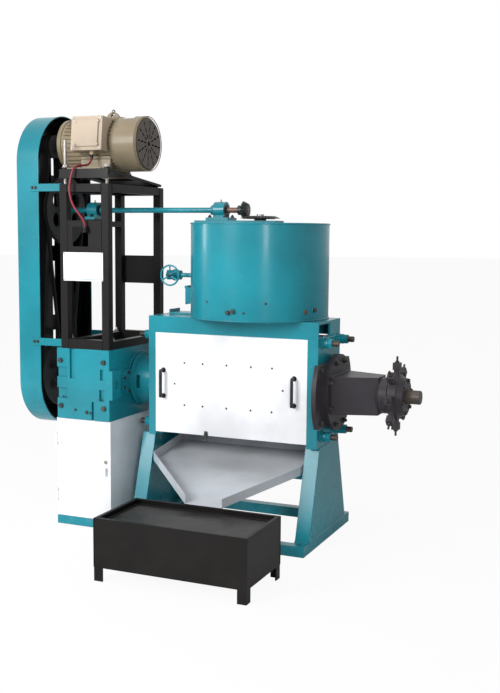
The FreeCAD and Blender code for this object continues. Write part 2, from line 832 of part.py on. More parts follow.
def bolt_shank(x, z):
    """Hole of one case bolt."""
    return y_cylinder(8, gearbox_front, gearbox_front + 20, x, z)


def hex_bolts():
    """Hexagon bolts of the gearbox front and of the discharge flange."""
    bolts = []
    for x, z in case_bolt_places():
        head = x_to_y(hexagon(13, 0, 10, 0, 0), x, gearbox_front - 10, z)
        bolts.append(fuse([head, bolt_shank(x, z)]))
    for y, z in flange_bolt_places():
        head = hexagon(13, hub_flange_x, hub_flange_x + 10, y, z)
        bolts.append(fuse([head, x_cylinder(8, housing_start, hub_flange_x, y, z)]))
    return bolts


def x_to_y(shape, x, y, z):
    """Turn a shape made along X from the origin so that it runs along Y, and move it."""
    copy = turned(shape, 90, V(0, 0, 0), Z_AXIS)
    copy.translate(V(x, y, z))
    return copy


def bearing_caps():
    """Round caps over the bearings: input side, and both ends of the layshaft."""
    left = gearbox_left - cap_thickness
    input_cap = x_ring(cap_radius, input_shaft_radius + free_clearance, left, gearbox_left)
    return [input_cap, x_cylinder(cap_radius, left, gearbox_left, layshaft_y),
            x_cylinder(cap_radius, gearbox_right, gearbox_right + cap_thickness, layshaft_y)]


def input_shaft():
    """Input shaft with its pinion cut on it."""
    shaft = x_cylinder(input_shaft_radius, guard_back_x + 10, web_x - 2)
    return fuse([shaft, spur_gear(pinion_teeth, first_stage_x, first_stage_face, 0, 0)])


def layshaft():
    """Intermediate shaft with the second pinion, and the large first-stage gear on it."""
    inset = 4.0
    shaft = fuse([x_cylinder(layshaft_radius, gearbox_left + inset, gearbox_right - inset, layshaft_y),
                  spur_gear(pinion_teeth, second_stage_x, second_stage_face, layshaft_y, 0)])
    gear = spur_gear(gear_teeth, first_stage_x, first_stage_face, layshaft_y, 0.5)
    return [shaft, gear.cut(x_cylinder(layshaft_radius, gearbox_left, gearbox_right, layshaft_y))]


def output_gear():
    """Large gear keyed on the worm shaft."""
    gear = spur_gear(gear_teeth, second_stage_x, second_stage_face, 0, 0.5)
    return gear.cut(x_cylinder(worm_shaft_radius, gearbox_left, gearbox_right))


# ---------------------------------------------------------------- pedestal and stand
def gearbox_pedestal():
    """White sheet cabinet under the gearbox, open at the front behind its door, with the hinge pins."""
    right = pedestal_left + pedestal_length
    front = gearbox_front + sheet + free_clearance
    outer = box(pedestal_left, right, front, gearbox_rear, plinth_height, gearbox_bottom)
    inner = box(pedestal_left + sheet, right - sheet, front + sheet, gearbox_rear - sheet,
                plinth_height + sheet, gearbox_bottom - 2 * sheet)
    mouth = box(pedestal_left + door_margin, right - door_margin, front, front + sheet,
                plinth_height + door_margin, gearbox_bottom - door_margin)
    lugs = []
    for low in hinge_levels():
        for z in (low - 12, low + 40):
            lugs.append(box(pedestal_left - 6, door_pin_x() - free_clearance, gearbox_front - 9,
                            front + sheet, z, z + 12))
        lugs.append(z_cylinder(hinge_pin_radius, low - 12, low + 52, door_pin_x() - free_clearance,
                               gearbox_front - 5))
    return fuse([cut(outer, [inner, mouth])] + lugs)


def door_pin_x():
    """The x of the door's hinge axis."""
    return pedestal_left + 4.0


def hinge_levels():
    """Lower ends of the two door knuckles."""
    return [plinth_height + 90, gearbox_bottom - 130]


def pedestal_door():
    """Door of the cabinet with two knuckles and a pull."""
    x = door_pin_x()
    right = pedestal_left + pedestal_length
    leaf = box(x + free_clearance, right, gearbox_front, gearbox_front + sheet, plinth_height + door_gap,
               gearbox_bottom - door_gap)
    pin_x = x - free_clearance
    knuckles = []
    bores = []
    for low in hinge_levels():
        z0, z1 = low + free_clearance, low + 40 - free_clearance
        knuckles.append(z_cylinder(hinge_pin_radius + 3, z0, z1, pin_x, gearbox_front - 5))
        knuckles.append(box(pin_x, pin_x + 26, gearbox_front - 3, gearbox_front, z0, z1))
        bores.append(z_cylinder(hinge_pin_radius + running_clearance, z0, z1, pin_x, gearbox_front - 5))
    middle = (plinth_height + gearbox_bottom) / 2
    pull = box(right - 34, right - 22, gearbox_front - 16, gearbox_front, middle - 20, middle + 20)
    return cut(fuse([leaf] + knuckles + [pull]), bores)


def pedestal_plinth():
    """Teal plinth under the cabinet."""
    right = pedestal_left + pedestal_length
    outer = box(pedestal_left, right, gearbox_front, gearbox_rear, 0, plinth_height)
    return outer.cut(box(pedestal_left + 40, right - 40, gearbox_front + 40, gearbox_rear - 40, 0, plinth_height))


def motor_stand():
    """Welded stand on the gearbox: posts, rails, cross plates and the lugs and pins of the tilt hinge."""
    y0, y1 = stand_front + stand_post, stand_rear - stand_post
    inner_left, inner_right = stand_left + stand_post, stand_right - stand_post
    sides = ((stand_left, inner_left), (inner_right, stand_right))
    bars = []
    for front, rear in ((stand_front, y0), (y1, stand_rear)):
        bars += [box(x0, x1, front, rear, gearbox_top, stand_top) for x0, x1 in sides]
        bars.append(box(inner_left, inner_right, front, rear, gearbox_top, gearbox_top + stand_post + 8))
        bars.append(box(inner_left, inner_right, front, rear, stand_top - stand_post, stand_top))
    bars += [box(x0, x1, y0, y1, z, z + stand_post)
             for x0, x1 in sides for z in (gearbox_top, stand_top - stand_post)]
    low, high = stand_top - stand_cross_low, stand_top - stand_cross_high
    middle = (inner_left + inner_right) / 2 - 21
    front_plate = box(inner_left, inner_right, stand_front, stand_front + stand_plate, low, high)
    cut_out = box(middle - cut_out_width / 2, middle + cut_out_width / 2, stand_front,
                  stand_front + stand_plate, low + 34, low + 34 + cut_out_height)
    rear_plate = box(inner_left, inner_right, stand_rear - stand_plate, stand_rear, low - 170, low - 20)
    shelf = box(stand_left - 26, inner_left, -70, 70, line_seat() - 8, line_seat())
    cross_rail = box(stand_left, inner_left, y0, y1, line_seat() - 38, line_seat() - 8)
    return bars + [front_plate.cut(cut_out), rear_plate, shelf, cross_rail] + tilt_lugs()


def line_seat():
    """Height of the seat of the line shaft's bearing in the stand."""
    return line_height - 48.0


def tilt_barrel_starts():
    """The x where each barrel of the tilt hinge starts."""
    inset = 45.0
    return [stand_left + inset, stand_right - inset - tilt_barrel_length]


def tilt_lugs():
    """Two lugs with a fixed pin for each hinge barrel, on the stand's rear rail."""
    lug = 14.0
    parts = []
    for x in tilt_barrel_starts():
        x1 = x + tilt_barrel_length
        sides = [box(start, start + lug, tilt_pin_y - 9, tilt_pin_y + 9, stand_top, tilt_pin_z + 8)
                 for start in (x - lug, x1)]
        parts.append(fuse(sides + [x_cylinder(tilt_pin_radius, x - lug, x1 + lug, tilt_pin_y, tilt_pin_z)]))
    return parts


# ---------------------------------------------------------------- motor, modelled level and then tilted
def tilted(shape):
    """Tilt a level shape of the motor about the hinge pin, front edge up."""
    return turned(shape, -motor_tilt, V(0, tilt_pin_y, tilt_pin_z), X_AXIS)


def motor_axis_level():
    """The motor axis (y, z) before the base is tilted."""
    return tilt_pin_y - motor_reach, tilt_pin_z + base_plate / 2 + motor_shaft_height


def motor_axis():
    """The motor axis (y, z) at rest."""
    y, z = motor_axis_level()
    angle = math.radians(motor_tilt)
    dy, dz = y - tilt_pin_y, z - tilt_pin_z
    return (tilt_pin_y + dy * math.cos(angle) + dz * math.sin(angle),
            tilt_pin_z - dy * math.sin(angle) + dz * math.cos(angle))


def screw_places():
    """The (x, y) of the two tension screws on the stand's front posts."""
    return [(stand_left + stand_post / 2, stand_front + screw_inset),
            (stand_right - stand_post / 2, stand_front + screw_inset)]


def motor_base():
    """Tilting plate with a front skirt, a middle window, screw slots and the hinge barrels."""
    front = tilt_pin_y - motor_front_reach
    plate = box(stand_left, stand_right, front, tilt_pin_y - 12, tilt_pin_z - base_plate / 2,
                tilt_pin_z + base_plate / 2)
    skirt = box(stand_left, stand_right, front, front + 6, tilt_pin_z + base_plate / 2 - base_skirt,
                tilt_pin_z + base_plate / 2)
    y, _ = motor_axis_level()
    window = box(stand_left + 60, stand_right - 30, y - 62, y + 62, tilt_pin_z - base_plate,
                 tilt_pin_z + base_plate)
    barrels, bores = [], []
    for x in tilt_barrel_starts():
        x0, x1 = x + free_clearance, x + tilt_barrel_length - free_clearance
        barrels.append(x_cylinder(tilt_barrel_radius, x0, x1, tilt_pin_y, tilt_pin_z))
        barrels.append(box(x0, x1, tilt_pin_y - 20, tilt_pin_y, tilt_pin_z - base_plate / 2,
                           tilt_pin_z + base_plate / 2))
        bores.append(x_cylinder(tilt_pin_radius + running_clearance, x0, x1, tilt_pin_y, tilt_pin_z))
    slots = []
    for x, sy in screw_places():
        level_y = tilt_pin_y - (tilt_pin_y - sy) / math.cos(math.radians(motor_tilt))
        slots.append(box(x - screw_radius - 3, x + screw_radius + 3, level_y - screw_radius - 7,
                         level_y + screw_radius + 7, tilt_pin_z - base_plate, tilt_pin_z + base_plate))
    return tilted(cut(fuse([plate, skirt] + barrels), [window] + bores + slots))


def tension_screws():
    """Two threaded rods standing on the stand's front posts."""
    (x0, y0), (x1, y1) = screw_places()
    return [z_cylinder(screw_radius, stand_top, stand_top + left_screw_length, x0, y0),
            z_cylinder(screw_radius, stand_top, stand_top + right_screw_length, x1, y1)]


def tension_nuts():
    """Loose-bored nuts and seats above and below the base at each screw, which move with the base."""
    nuts = []
    for x, sy in screw_places():
        y = tilt_pin_y - (tilt_pin_y - sy) / math.cos(math.radians(motor_tilt))
        for z0 in (tilt_pin_z + base_plate / 2, tilt_pin_z - base_plate / 2 - screw_nut):
            z1 = z0 + screw_nut
            nut = z_hexagon(19, z0, z1, x, y)
            nuts.append(tilted(nut.cut(z_cylinder(screw_radius + 4, z0, z1, x, y))))
    return nuts


def motor_frame():
    """Finned motor frame with the stator, end shields, feet and a lifting lug."""
    y, z = motor_axis_level()
    body = x_cylinder(motor_radius, motor_drive_end + 22, motor_frame_end, y, z)
    shield = x_cylinder(motor_radius + 4, motor_drive_end, motor_drive_end + 22, y, z)
    nose = x_cylinder(48, motor_drive_end - 10, motor_drive_end, y, z)
    spigot = x_cylinder(cowl_radius - cowl_sheet, motor_frame_end - 18, motor_frame_end + 8, y, z)
    fins = []
    for i in range(motor_fin_count):
        fin = box(motor_drive_end + 40, motor_frame_end - 12, y - 1.5, y + 1.5, z + motor_radius - 3,
                  z + motor_radius + motor_fin)
        angle = 360.0 * (i + 0.5) / motor_fin_count
        fins.append(turned(fin, angle, V(0, y, z), X_AXIS))
    foot_x0 = stand_left + 8
    foot_x1 = motor_frame_end - 16
    floor = tilt_pin_z + base_plate / 2
    feet = []
    for side in (-1, 1):
        middle = y + side * foot_spacing / 2
        feet.append(box(foot_x0, foot_x1, middle - foot_length / 2, middle + foot_length / 2, floor, floor + 18))
        feet.append(box(foot_x0 + 10, foot_x1 - 10, middle - 9 - side * 14, middle + 9 - side * 14, floor + 18,
                        z - 20))
    lug_x = stand_left + 134
    lug = y_cylinder(38, y - 7, y + 7, lug_x, z + motor_radius + 2)
    lug = lug.cut(y_cylinder(11, y - 7, y + 7, lug_x, z + motor_radius + 22))
    core = x_cylinder(rotor_radius + 0.8, motor_drive_end + 22, motor_frame_end - 20, y, z)
    bore = x_cylinder(motor_shaft_radius + running_clearance, motor_drive_end - 10, motor_frame_end + 8, y, z)
    return tilted(cut(fuse([body, shield, nose, spigot, lug] + fins + feet), [core, bore]))


def terminal_box():
    """Terminal box on the front of the motor, with a raised lid and a cable gland below."""
    y, z = motor_axis_level()
    x0, x1 = terminal_left, terminal_left + terminal_width
    front = y - terminal_reach
    low = z - terminal_drop
    body = box(x0, x1, front, y - 60, low, low + terminal_height)
    lid = box(x0 + 21, x1 - 21, front - 8, front, low + 19, low + terminal_height - 19)
    gland = z_cylinder(11, low - terminal_gland, low, terminal_gland_x(), front + 42)
    hollow = box(x0 + 8, x1 - 8, front + 6, y - 70, low + 8, low + terminal_height - 8)
    motor_hole = x_cylinder(motor_radius + motor_fin + 0.01, motor_drive_end, motor_frame_end, y, z)
    pocket = z_cylinder(cable_radius + cable_gap, low - terminal_gland, low + 8, terminal_gland_x(), front + 42)
    shell = cut(fuse([body, lid]), [motor_hole, hollow])
    return tilted(cut(fuse([shell, gland]), [pocket]))


def terminal_gland_x():
    """The x of the cable gland under the terminal box."""
    return terminal_left + 101.0


def fan_cowl():
    """Sheet cowl over the fan, with a rounded end and radial air slots."""
    y, z = motor_axis_level()
    corner = 14.0

    def pot(radius, x0, x1):
        barrel = x_cylinder(radius, x0, x1 - corner, y, z)
        nose = Part.makeCone(radius, radius - corner, corner, V(x1 - corner, y, z), X_AXIS)
        return fuse([barrel, nose])

    shell = pot(cowl_radius, motor_frame_end, cowl_end).cut(pot(cowl_radius - cowl_sheet, motor_frame_end, cowl_end - cowl_sheet))
    slots = []
    for ring_radius, width in ((40.0, 22.0), (72.0, 26.0), (104.0, 22.0)):
        for i in range(12):
            slot = box(cowl_end - 2 * cowl_sheet, cowl_end, y - 4, y + 4, z + ring_radius - width / 2,
                       z + ring_radius + width / 2)
            slots.append(turned(slot, 30.0 * i, V(0, y, z), X_AXIS))
    centre = x_cylinder(12, cowl_end - 2 * cowl_sheet, cowl_end, y, z)
    return tilted(cut(shell, [fuse(slots + [centre])]))


def motor_rotor():
    """Rotor core on its shaft, and the cooling fan on the far end."""
    y, z = motor_axis_level()
    shaft = x_cylinder(motor_shaft_radius, guard_back_x + 10, motor_frame_end + 60, y, z)
    core = x_cylinder(rotor_radius, motor_drive_end + 60, motor_frame_end - 60, y, z)
    hub = x_cylinder(34, motor_frame_end + 20, motor_frame_end + 60, y, z)
    blades = []
    for i in range(7):
        blade = box(motor_frame_end + 22, motor_frame_end + 62, y - 3, y + 3, z + 30, z + 118)
        blades.append(turned(blade, 360.0 * i / 7, V(0, y, z), X_AXIS))
    fan = fuse([hub] + blades).cut(x_cylinder(motor_shaft_radius, motor_drive_end, motor_frame_end + 90, y, z))
    return [tilted(fuse([shaft, core])), tilted(fan)]


# ---------------------------------------------------------------- belt drive
def main_belt_places():
    """The x of each main belt's middle."""
    return [main_belt_x - belt_pitch * i for i in range(main_belt_count)]


def grooved(radius, x0, x1, groove_places, y, z):
    """A pulley rim with one groove at each place."""
    rim = x_cylinder(radius, x0, x1, y, z)
    depth = belt_thickness + 2
    half = belt_width / 2 + free_clearance
    return cut(rim, [x_ring(radius + 1, radius - depth, x - half, x + half, y, z) for x in groove_places])


def motor_pulley():
    """Three-groove pulley on the motor shaft, with a long hub towards the motor."""
    y, z = motor_axis_level()
    places = main_belt_places()
    edge = belt_pitch / 2 + 2
    rim = grooved(motor_pulley_radius, places[-1] - edge, places[0] + edge, places, y, z)
    hub = x_cylinder(34, places[0] + edge, guard_open_x + 8, y, z)
    return tilted(fuse([rim, hub]).cut(x_cylinder(motor_shaft_radius, guard_back_x, motor_drive_end, y, z)))


def input_pulley():
    """Large main pulley on the gearbox input shaft, with the small line-drive pulley on its hub."""
    places = main_belt_places()
    edge = belt_pitch / 2 + 2
    rim = grooved(input_pulley_radius, places[-1] - edge, places[0] + edge, places, 0, worm_height)
    dish = x_ring(input_pulley_radius - 26, 58, places[-1] - edge, places[-1] + edge, 0, worm_height)
    holes = [turned(x_cylinder(28, places[-1] - edge, places[0] + edge, 0, worm_height + 110), 60.0 * i,
                    V(0, 0, worm_height), X_AXIS) for i in range(6)]
    hub = x_cylinder(line_drive_radius - 13, places[0] + edge, guard_open_x + 20)
    small = grooved(line_drive_radius, line_belt_x - edge, line_belt_x + edge, [line_belt_x], 0, worm_height)
    shaft = x_cylinder(input_shaft_radius, guard_back_x, gearbox_left)
    return cut(fuse([rim.cut(dish), hub, small]), holes + [shaft])


def line_pulley():
    """Large spoked pulley on the line shaft."""
    edge = belt_pitch / 2 + 2
    x0, x1 = line_belt_x - edge, line_belt_x + edge
    rim = grooved(line_pulley_radius, x0, x1, [line_belt_x], 0, line_height)
    hole_tools = [turned(x_cylinder(40, x0, x1, 0, line_height + 100), 60.0 * i, V(0, 0, line_height), X_AXIS)
                  for i in range(6)]
    return cut(rim, hole_tools + [x_cylinder(line_radius, x0, x1, 0, line_height)])


def belt_outline(x, low, high):
    """Closed wire around two circles in the plane at x; low and high are (y, z, radius)."""
    (y0, z0, r0), (y1, z1, r1) = low, high
    distance = math.hypot(y1 - y0, z1 - z0)
    along = math.atan2(z1 - z0, y1 - y0)
    spread = math.acos((r0 - r1) / distance)
    angles = (along - spread, along + spread)
    (a, b), (c, d) = [[V(x, y + r * math.cos(t), z + r * math.sin(t)) for t in angles]
                      for y, z, r in (low, high)]
    far_low = V(x, y0 - r0 * math.cos(along), z0 - r0 * math.sin(along))
    far_high = V(x, y1 + r1 * math.cos(along), z1 + r1 * math.sin(along))
    return Part.Wire([Part.LineSegment(a, c).toShape(), Part.Arc(c, far_high, d).toShape(),
                      Part.LineSegment(d, b).toShape(), Part.Arc(b, far_low, a).toShape()])


def belt(x, low, high):
    """A belt in the grooves of two pulleys; low and high are (y, z, pulley radius)."""
    loops = []
    for inset in (0.0, belt_thickness):
        ends = [(y, z, radius - inset) for y, z, radius in (low, high)]
        loops.append(Part.Face(belt_outline(x - belt_width / 2, *ends)).extrude(V(belt_width, 0, 0)))
    return loops[0].cut(loops[1])


def main_belts():
    """Belts from the motor pulley to the gearbox pulley."""
    y, z = motor_axis()
    return [belt(x, (0, worm_height, input_pulley_radius), (y, z, motor_pulley_radius))
            for x in main_belt_places()]


def line_belt():
    """Belt from the small pulley on the input shaft up to the line shaft."""
    return belt(line_belt_x, (0, worm_height, line_drive_radius), (0, line_height, line_pulley_radius))


def guard_outline(x, radius):
    """Upright oblong with round ends, in the plane at x."""
    y = guard_centre_y
    a, b = V(x, y + radius, guard_low_z), V(x, y + radius, guard_high_z)
    c, d = V(x, y - radius, guard_high_z), V(x, y - radius, guard_low_z)
    top, bottom = V(x, y, guard_high_z + radius), V(x, y, guard_low_z - radius)
    return Part.Face(Part.Wire([Part.LineSegment(a, b).toShape(), Part.Arc(b, top, c).toShape(),
                                Part.LineSegment(c, d).toShape(), Part.Arc(d, bottom, a).toShape()]))


def belt_guard():
    """Sheet guard open towards the machine, with plain vent slots in its back and four brackets."""
    outer = guard_outline(guard_back_x, guard_radius).extrude(V(guard_width, 0, 0))
    inner = guard_outline(guard_back_x + guard_sheet, guard_radius - guard_sheet).extrude(V(guard_width, 0, 0))
    pitch = (guard_high_z - guard_low_z) / (vent_count - 1)
    vents = [box(guard_back_x, guard_back_x + guard_sheet, guard_centre_y + side * 70 - 12,
                 guard_centre_y + side * 70 + 12, guard_low_z + pitch * i - 52, guard_low_z + pitch * i + 52)
             for i in range(vent_count) for side in (-1, 1)]
    brackets = [bracket for z in (gearbox_top + 2, stand_top - stand_post + 6) for bracket in guard_brackets(z)]
    return fuse([cut(outer, [inner] + vents)] + brackets)


def guard_brackets(z):
    """Front and rear flat bars from the guard to the stand's left posts, at height z."""
    bars = []
    for y_band, y_post, side in ((guard_centre_y - guard_radius, stand_front + stand_post, -1),
                                 (guard_centre_y + guard_radius, stand_rear - stand_post, 1)):
        y0, y1 = min(y_band, y_band + 6 * side), max(y_band, y_band + 6 * side)
        bars.append(box(guard_open_x - 50, stand_left, y0, y1, z, z + bracket_height))
        foot0, foot1 = min(y_band, y_post + 30 * side), max(y_band, y_post + 30 * side)
        bars.append(box(stand_left - 6, stand_left, foot0, foot1, z, z + bracket_height))
    return bars


# ---------------------------------------------------------------- line shaft and bevel gears
def line_shaft():
    """Line shaft from the belt guard to the bevel pinion over the kettle."""
    return x_cylinder(line_radius, line_belt_x - 16, bevel_pinion_x(1.0) + 2, 0, line_height)


def bearing_places():
    """Middle x, seat height and half foot length of the two line shaft bearings."""
    return [(stand_left + 4, line_seat(), block_half_width), (kettle_x - kettle_block_inset, kettle_top + bridge_thickness, kettle_block_foot)]


def pillow_blocks():
    """Two pillow blocks: foot, rounded body and bore."""
    blocks = []
    for x, seat, half in bearing_places():
        x0, x1 = x - block_half_width, x + block_half_width
        foot = box(x - half, x + half, -block_foot_depth / 2, block_foot_depth / 2, seat, seat + 14)
        column = box(x0, x1, -32, 32, seat + 14, line_height)
        head = x_cylinder(block_radius, x0, x1, 0, line_height)
        bore = x_cylinder(line_radius + running_clearance, x0, x1, 0, line_height)
        blocks.append(cut(fuse([foot, column, head]), [bore]))
    return blocks


def bevel_pinion_x(share):
    """The x on the line shaft at a share of the distance from the kettle axis: 0 is the large end."""
    length = math.hypot(bevel_pinion_radius, crown_radius)
    small = (length - bevel_face) / length
    return kettle_x - crown_radius * (1.0 + (small - 1.0) * share)


def bevel_wire(teeth, pitch_radius, distance, scale, phase, place):
    """Outline of a bevel gear at a scale of its large end; place maps (radius, angle, scale) to a point."""
    length = math.hypot(pitch_radius, distance)
    cone = math.atan2(pitch_radius, distance)
    tip = distance * math.tan(cone + 0.85 * bevel_module / length)
    root = distance * math.tan(cone - 1.1 * bevel_module / length)
    points = []
    for i in range(teeth):
        for offset, radius in ((-0.33, root), (-0.13, tip), (0.13, tip), (0.33, root)):
            angle = 2 * math.pi * (i + offset + phase) / teeth
            points.append(place(radius * scale, angle, scale))
    return Part.makePolygon(points + [points[0]])


def bevel_gear(teeth, pitch_radius, distance, phase, place):
    """A straight bevel gear: both ends joined by ruled faces towards the common apex."""
    length = math.hypot(pitch_radius, distance)
    ends = [bevel_wire(teeth, pitch_radius, distance, scale, phase, place)
            for scale in (1.0, (length - bevel_face) / length)]
    return Part.makeLoft(ends, True, True)


def bevel_pinion():
    """Bevel pinion on the end of the line shaft, with its hub."""
    def place(radius, angle, scale):
        return V(kettle_x - crown_radius * scale, radius * math.cos(angle), line_height + radius * math.sin(angle))

    teeth = bevel_gear(bevel_pinion_teeth, bevel_pinion_radius, crown_radius, 0.0, place)
    large_x = bevel_pinion_x(0.0)
    hub = x_cylinder(24, large_x - 26, large_x, 0, line_height)
    return fuse([teeth, hub]).cut(x_cylinder(line_radius, large_x - 40, kettle_x, 0, line_height))


def crown_gear():
    """Crown bevel gear on top of the stirrer shaft, with its hub."""
    def place(radius, angle, scale):
        return V(kettle_x + radius * math.cos(angle), radius * math.sin(angle),
                 line_height - bevel_pinion_radius * scale)

    teeth = bevel_gear(crown_teeth, crown_radius, bevel_pinion_radius, 0.5, place)
    large_z = line_height - bevel_pinion_radius
    disc = z_cylinder(crown_radius - 16, large_z - 3, large_z, kettle_x, 0)
    hub = z_cylinder(30, kettle_top + bridge_thickness + free_clearance, large_z + 8, kettle_x, 0)
    return fuse([teeth, disc, hub]).cut(z_cylinder(stirrer_radius, kettle_top, line_height, kettle_x, 0))


def stirrer():
    """Stirrer shaft with two swept blades over the pan floor."""
    floor = beam_top + pan_floor
    low = floor + blade_clearance
    shaft = z_cylinder(stirrer_radius, low - 4, line_height - 20, kettle_x, 0)
    hub = z_cylinder(stirrer_radius + 14, low, low + blade_height + 20, kettle_x, 0)
    blades = []
    reach = pan_radius - 12
    for side in (0, 180):
        arm = box(kettle_x, kettle_x + reach, -5, 5, low, low + blade_height)
        arm = arm.cut(box(kettle_x + 60, kettle_x + reach, -5, 5, low + blade_height - 14, low + blade_height))
        blades.append(turned(arm, side + 35, V(kettle_x, 0, 0), Z_AXIS))
    return fuse([shaft, hub] + blades)


# ---------------------------------------------------------------- kettle and its fittings
def kettle():
    """Double-walled steam kettle: skirt, jacket, pan, feed duct, foot boss and nozzle seat."""
    def tube(radius, wall, z0, z1):
        return z_cylinder(radius, z0, z1, kettle_x, 0).cut(z_cylinder(radius - wall, z0, z1, kettle_x, 0))

    floor = beam_top + pan_floor
    jacket_floor = beam_top + gate_space()
    jacket = tube(kettle_radius, kettle_wall, beam_top, kettle_top)
    pan = tube(pan_radius + pan_wall, pan_wall, floor - pan_wall, kettle_top)
    rim = tube(kettle_radius, kettle_radius - pan_radius, kettle_top - 8, kettle_top)
    bottom = z_cylinder(kettle_radius, jacket_floor, jacket_floor + 8, kettle_x, 0)
    pan_bottom = z_cylinder(pan_radius + pan_wall, floor - pan_wall, floor, kettle_x, 0)
    duct = feed_square(outlet_size / 2 + 6, jacket_floor, floor)
    foot = z_cylinder(stirrer_radius + 14, floor, floor + blade_clearance - 4.3, kettle_x, 0)
    way = feed_square(outlet_size / 2, jacket_floor, floor)
    gate_slot = box(kettle_x - kettle_radius, kettle_x - kettle_radius + 20, -gate_half() - free_clearance,
                    gate_half() + free_clearance, beam_top, jacket_floor)
    steam = x_cylinder(valve_pipe_radius, kettle_x - kettle_radius - 5, kettle_x - pan_radius - 14, 0, valve_height)
    return cut(fuse([jacket, pan, rim, bottom, pan_bottom, duct, foot]), [way, gate_slot, steam])


def gate_space():
    """Height of the space under the kettle where the feed gate slides."""
    return gate_thickness + 2 * free_clearance + 5


def gate_half():
    """Half width of the feed gate."""
    return outlet_size / 2 + 14


def feed_gate():
    """Sliding plate that closes the feed passage, with a turned-up pull at its outer end."""
    outer = kettle_x - kettle_radius - gate_pull_reach
    plate = box(outer, outlet_x + gate_half(), -gate_half(), gate_half(), beam_top + free_clearance,
                beam_top + free_clearance + gate_thickness)
    pull = box(outer, outer + 6, -gate_half(), gate_half(), beam_top + free_clearance, beam_top + 26)
    return fuse([plate, pull])


def gate_guides():
    """Two rails on the beam beside the feed gate."""
    start = kettle_x - kettle_radius + 24
    end = outlet_x + gate_half() + 20
    rails = []
    for side in (-1, 1):
        near = side * (gate_half() + free_clearance)
        far = side * (gate_half() + 12)
        rails.append(box(start, end, min(near, far), max(near, far), beam_top, beam_top + gate_thickness))
    return rails


def kettle_bridge():
    """Flanged bracket across the kettle rim to the stirrer shaft, with the shaft's upper bearing."""
    z0, z1 = kettle_top, kettle_top + bridge_thickness
    half = bridge_width / 2
    plate = box(kettle_x - kettle_radius + 6, bridge_end, -half, half, z0, z1)
    ribs = [box(kettle_x - pan_radius + 20, bridge_end, side * half - 5, side * half + 5, z0 - 30, z0 + 2)
            for side in (-1, 1)]
    bush = z_cylinder(stirrer_radius + 16, z0 - 40, z1, kettle_x, 0)
    bore = z_cylinder(stirrer_radius + running_clearance, z0 - 60, z1, kettle_x, 0)
    return fuse([plate, bush] + ribs).cut(bore)


def steam_valve():
    """Steam pipe into the jacket, with a globe valve body and its bonnet towards the front."""
    wall_x = kettle_x - kettle_radius
    pipe = x_cylinder(valve_pipe_radius, valve_x + 20, wall_x + kettle_wall, 0, valve_height)
    flange = x_cylinder(valve_pipe_radius + 12, wall_x - 10, wall_x - 1, 0, valve_height)
    body = x_cylinder(valve_body_radius, valve_x - 30, valve_x + 30, 0, valve_height)
    globe = Part.makeSphere(valve_body_radius + 6, V(valve_x, 0, valve_height))
    inlet = hexagon(valve_body_radius + 4, valve_x - 44, valve_x - 28, 0, valve_height)
    bonnet = y_cylinder(14, -44, 0, valve_x, valve_height)
    bore = x_cylinder(valve_pipe_radius - 3, valve_x - 44, wall_x + kettle_wall, 0, valve_height)
    stem_hole = y_cylinder(5 + running_clearance, -44, -12, valve_x, valve_height)
    return cut(fuse([pipe, flange, body, globe, inlet, bonnet]), [bore, stem_hole])


def valve_handwheel():
    """Handwheel with three spokes and its stem."""
    y = -66.0
    rim = Part.makeTorus(handwheel_radius, handwheel_rim, V(valve_x, y, valve_height), Y_AXIS)
    hub = y_cylinder(11, y - 7, y + 9, valve_x, valve_height)
    stem = y_cylinder(5, y - 12, -14, valve_x, valve_height)
    spokes = []
    for i in range(3):
        spoke = z_cylinder(4, valve_height + 6, valve_height + handwheel_radius, valve_x, y)
        spokes.append(turned(spoke, 120.0 * i, V(valve_x, y, valve_height), Y_AXIS))
    return fuse([rim, hub, stem] + spokes)


def sample_box():
    """Small sampling spout on the side of the kettle, with the pin of its flap."""
    wall_x = kettle_x - kettle_radius
    half = sample_width / 2
    left = wall_x - sample_reach
    top = sample_bottom + sample_height
    outer = box(left, wall_x + 30, -half, half, sample_bottom, top)
    inner = box(left, wall_x + 30, -half + 4, half - 4, sample_bottom + 4, top - 4)
    shell = outer.cut(inner)
    shell = shell.cut(z_cylinder(kettle_radius, sample_bottom, top, kettle_x, 0))
    pin = y_cylinder(2.5, -half, half, left - 5, top + 5)
    lugs = [box(left - 9, left + 8, side * (half - 3) - 3, side * (half - 3) + 3, top - 4, top + 9)
            for side in (-1, 1)]
    return fuse([shell, pin] + lugs)


def sample_flap():
    """Hinged flap over the sampling spout."""
    left = kettle_x - kettle_radius - sample_reach
    top = sample_bottom + sample_height
    half = sample_width / 2
    leaf = box(left - 5, left - free_clearance, -half, half, sample_bottom - 4, top - 8)
    barrel = y_cylinder(5, -half + 7, half - 7, left - 5, top + 5)
    tongue = box(left - 8, left - 4, -half + 7, half - 7, top - 12, top + 2)
    bore = y_cylinder(2.5 + running_clearance, -half, half, left - 5, top + 5)
    return fuse([leaf, barrel, tongue]).cut(bore)


# ---------------------------------------------------------------- oil tray and catch box
def tray_floor_z(y):
    """Height of the tray's floor at y."""
    return tray_lip_z + tray_slope * (y - tray_lip_y)


def tray_corners(inset):
    """Corners of the tray's floor outline in plan, moved inwards."""
    return [(tray_lip_left + inset, tray_lip_y - 1), (tray_lip_right - inset, tray_lip_y - 1),
            (tray_right - inset, tray_bend), (tray_right - inset, tray_rear - inset),
            (tray_left + inset, tray_rear - inset), (tray_left + inset, tray_bend)]


def tray_prism(inset, low, high):
    """The tray's outline between two planes parallel to its sloping floor."""
    bottom = [V(x, y, tray_floor_z(y) + low) for x, y in tray_corners(inset)]
    return prism(bottom, V(0, 0, high - low))


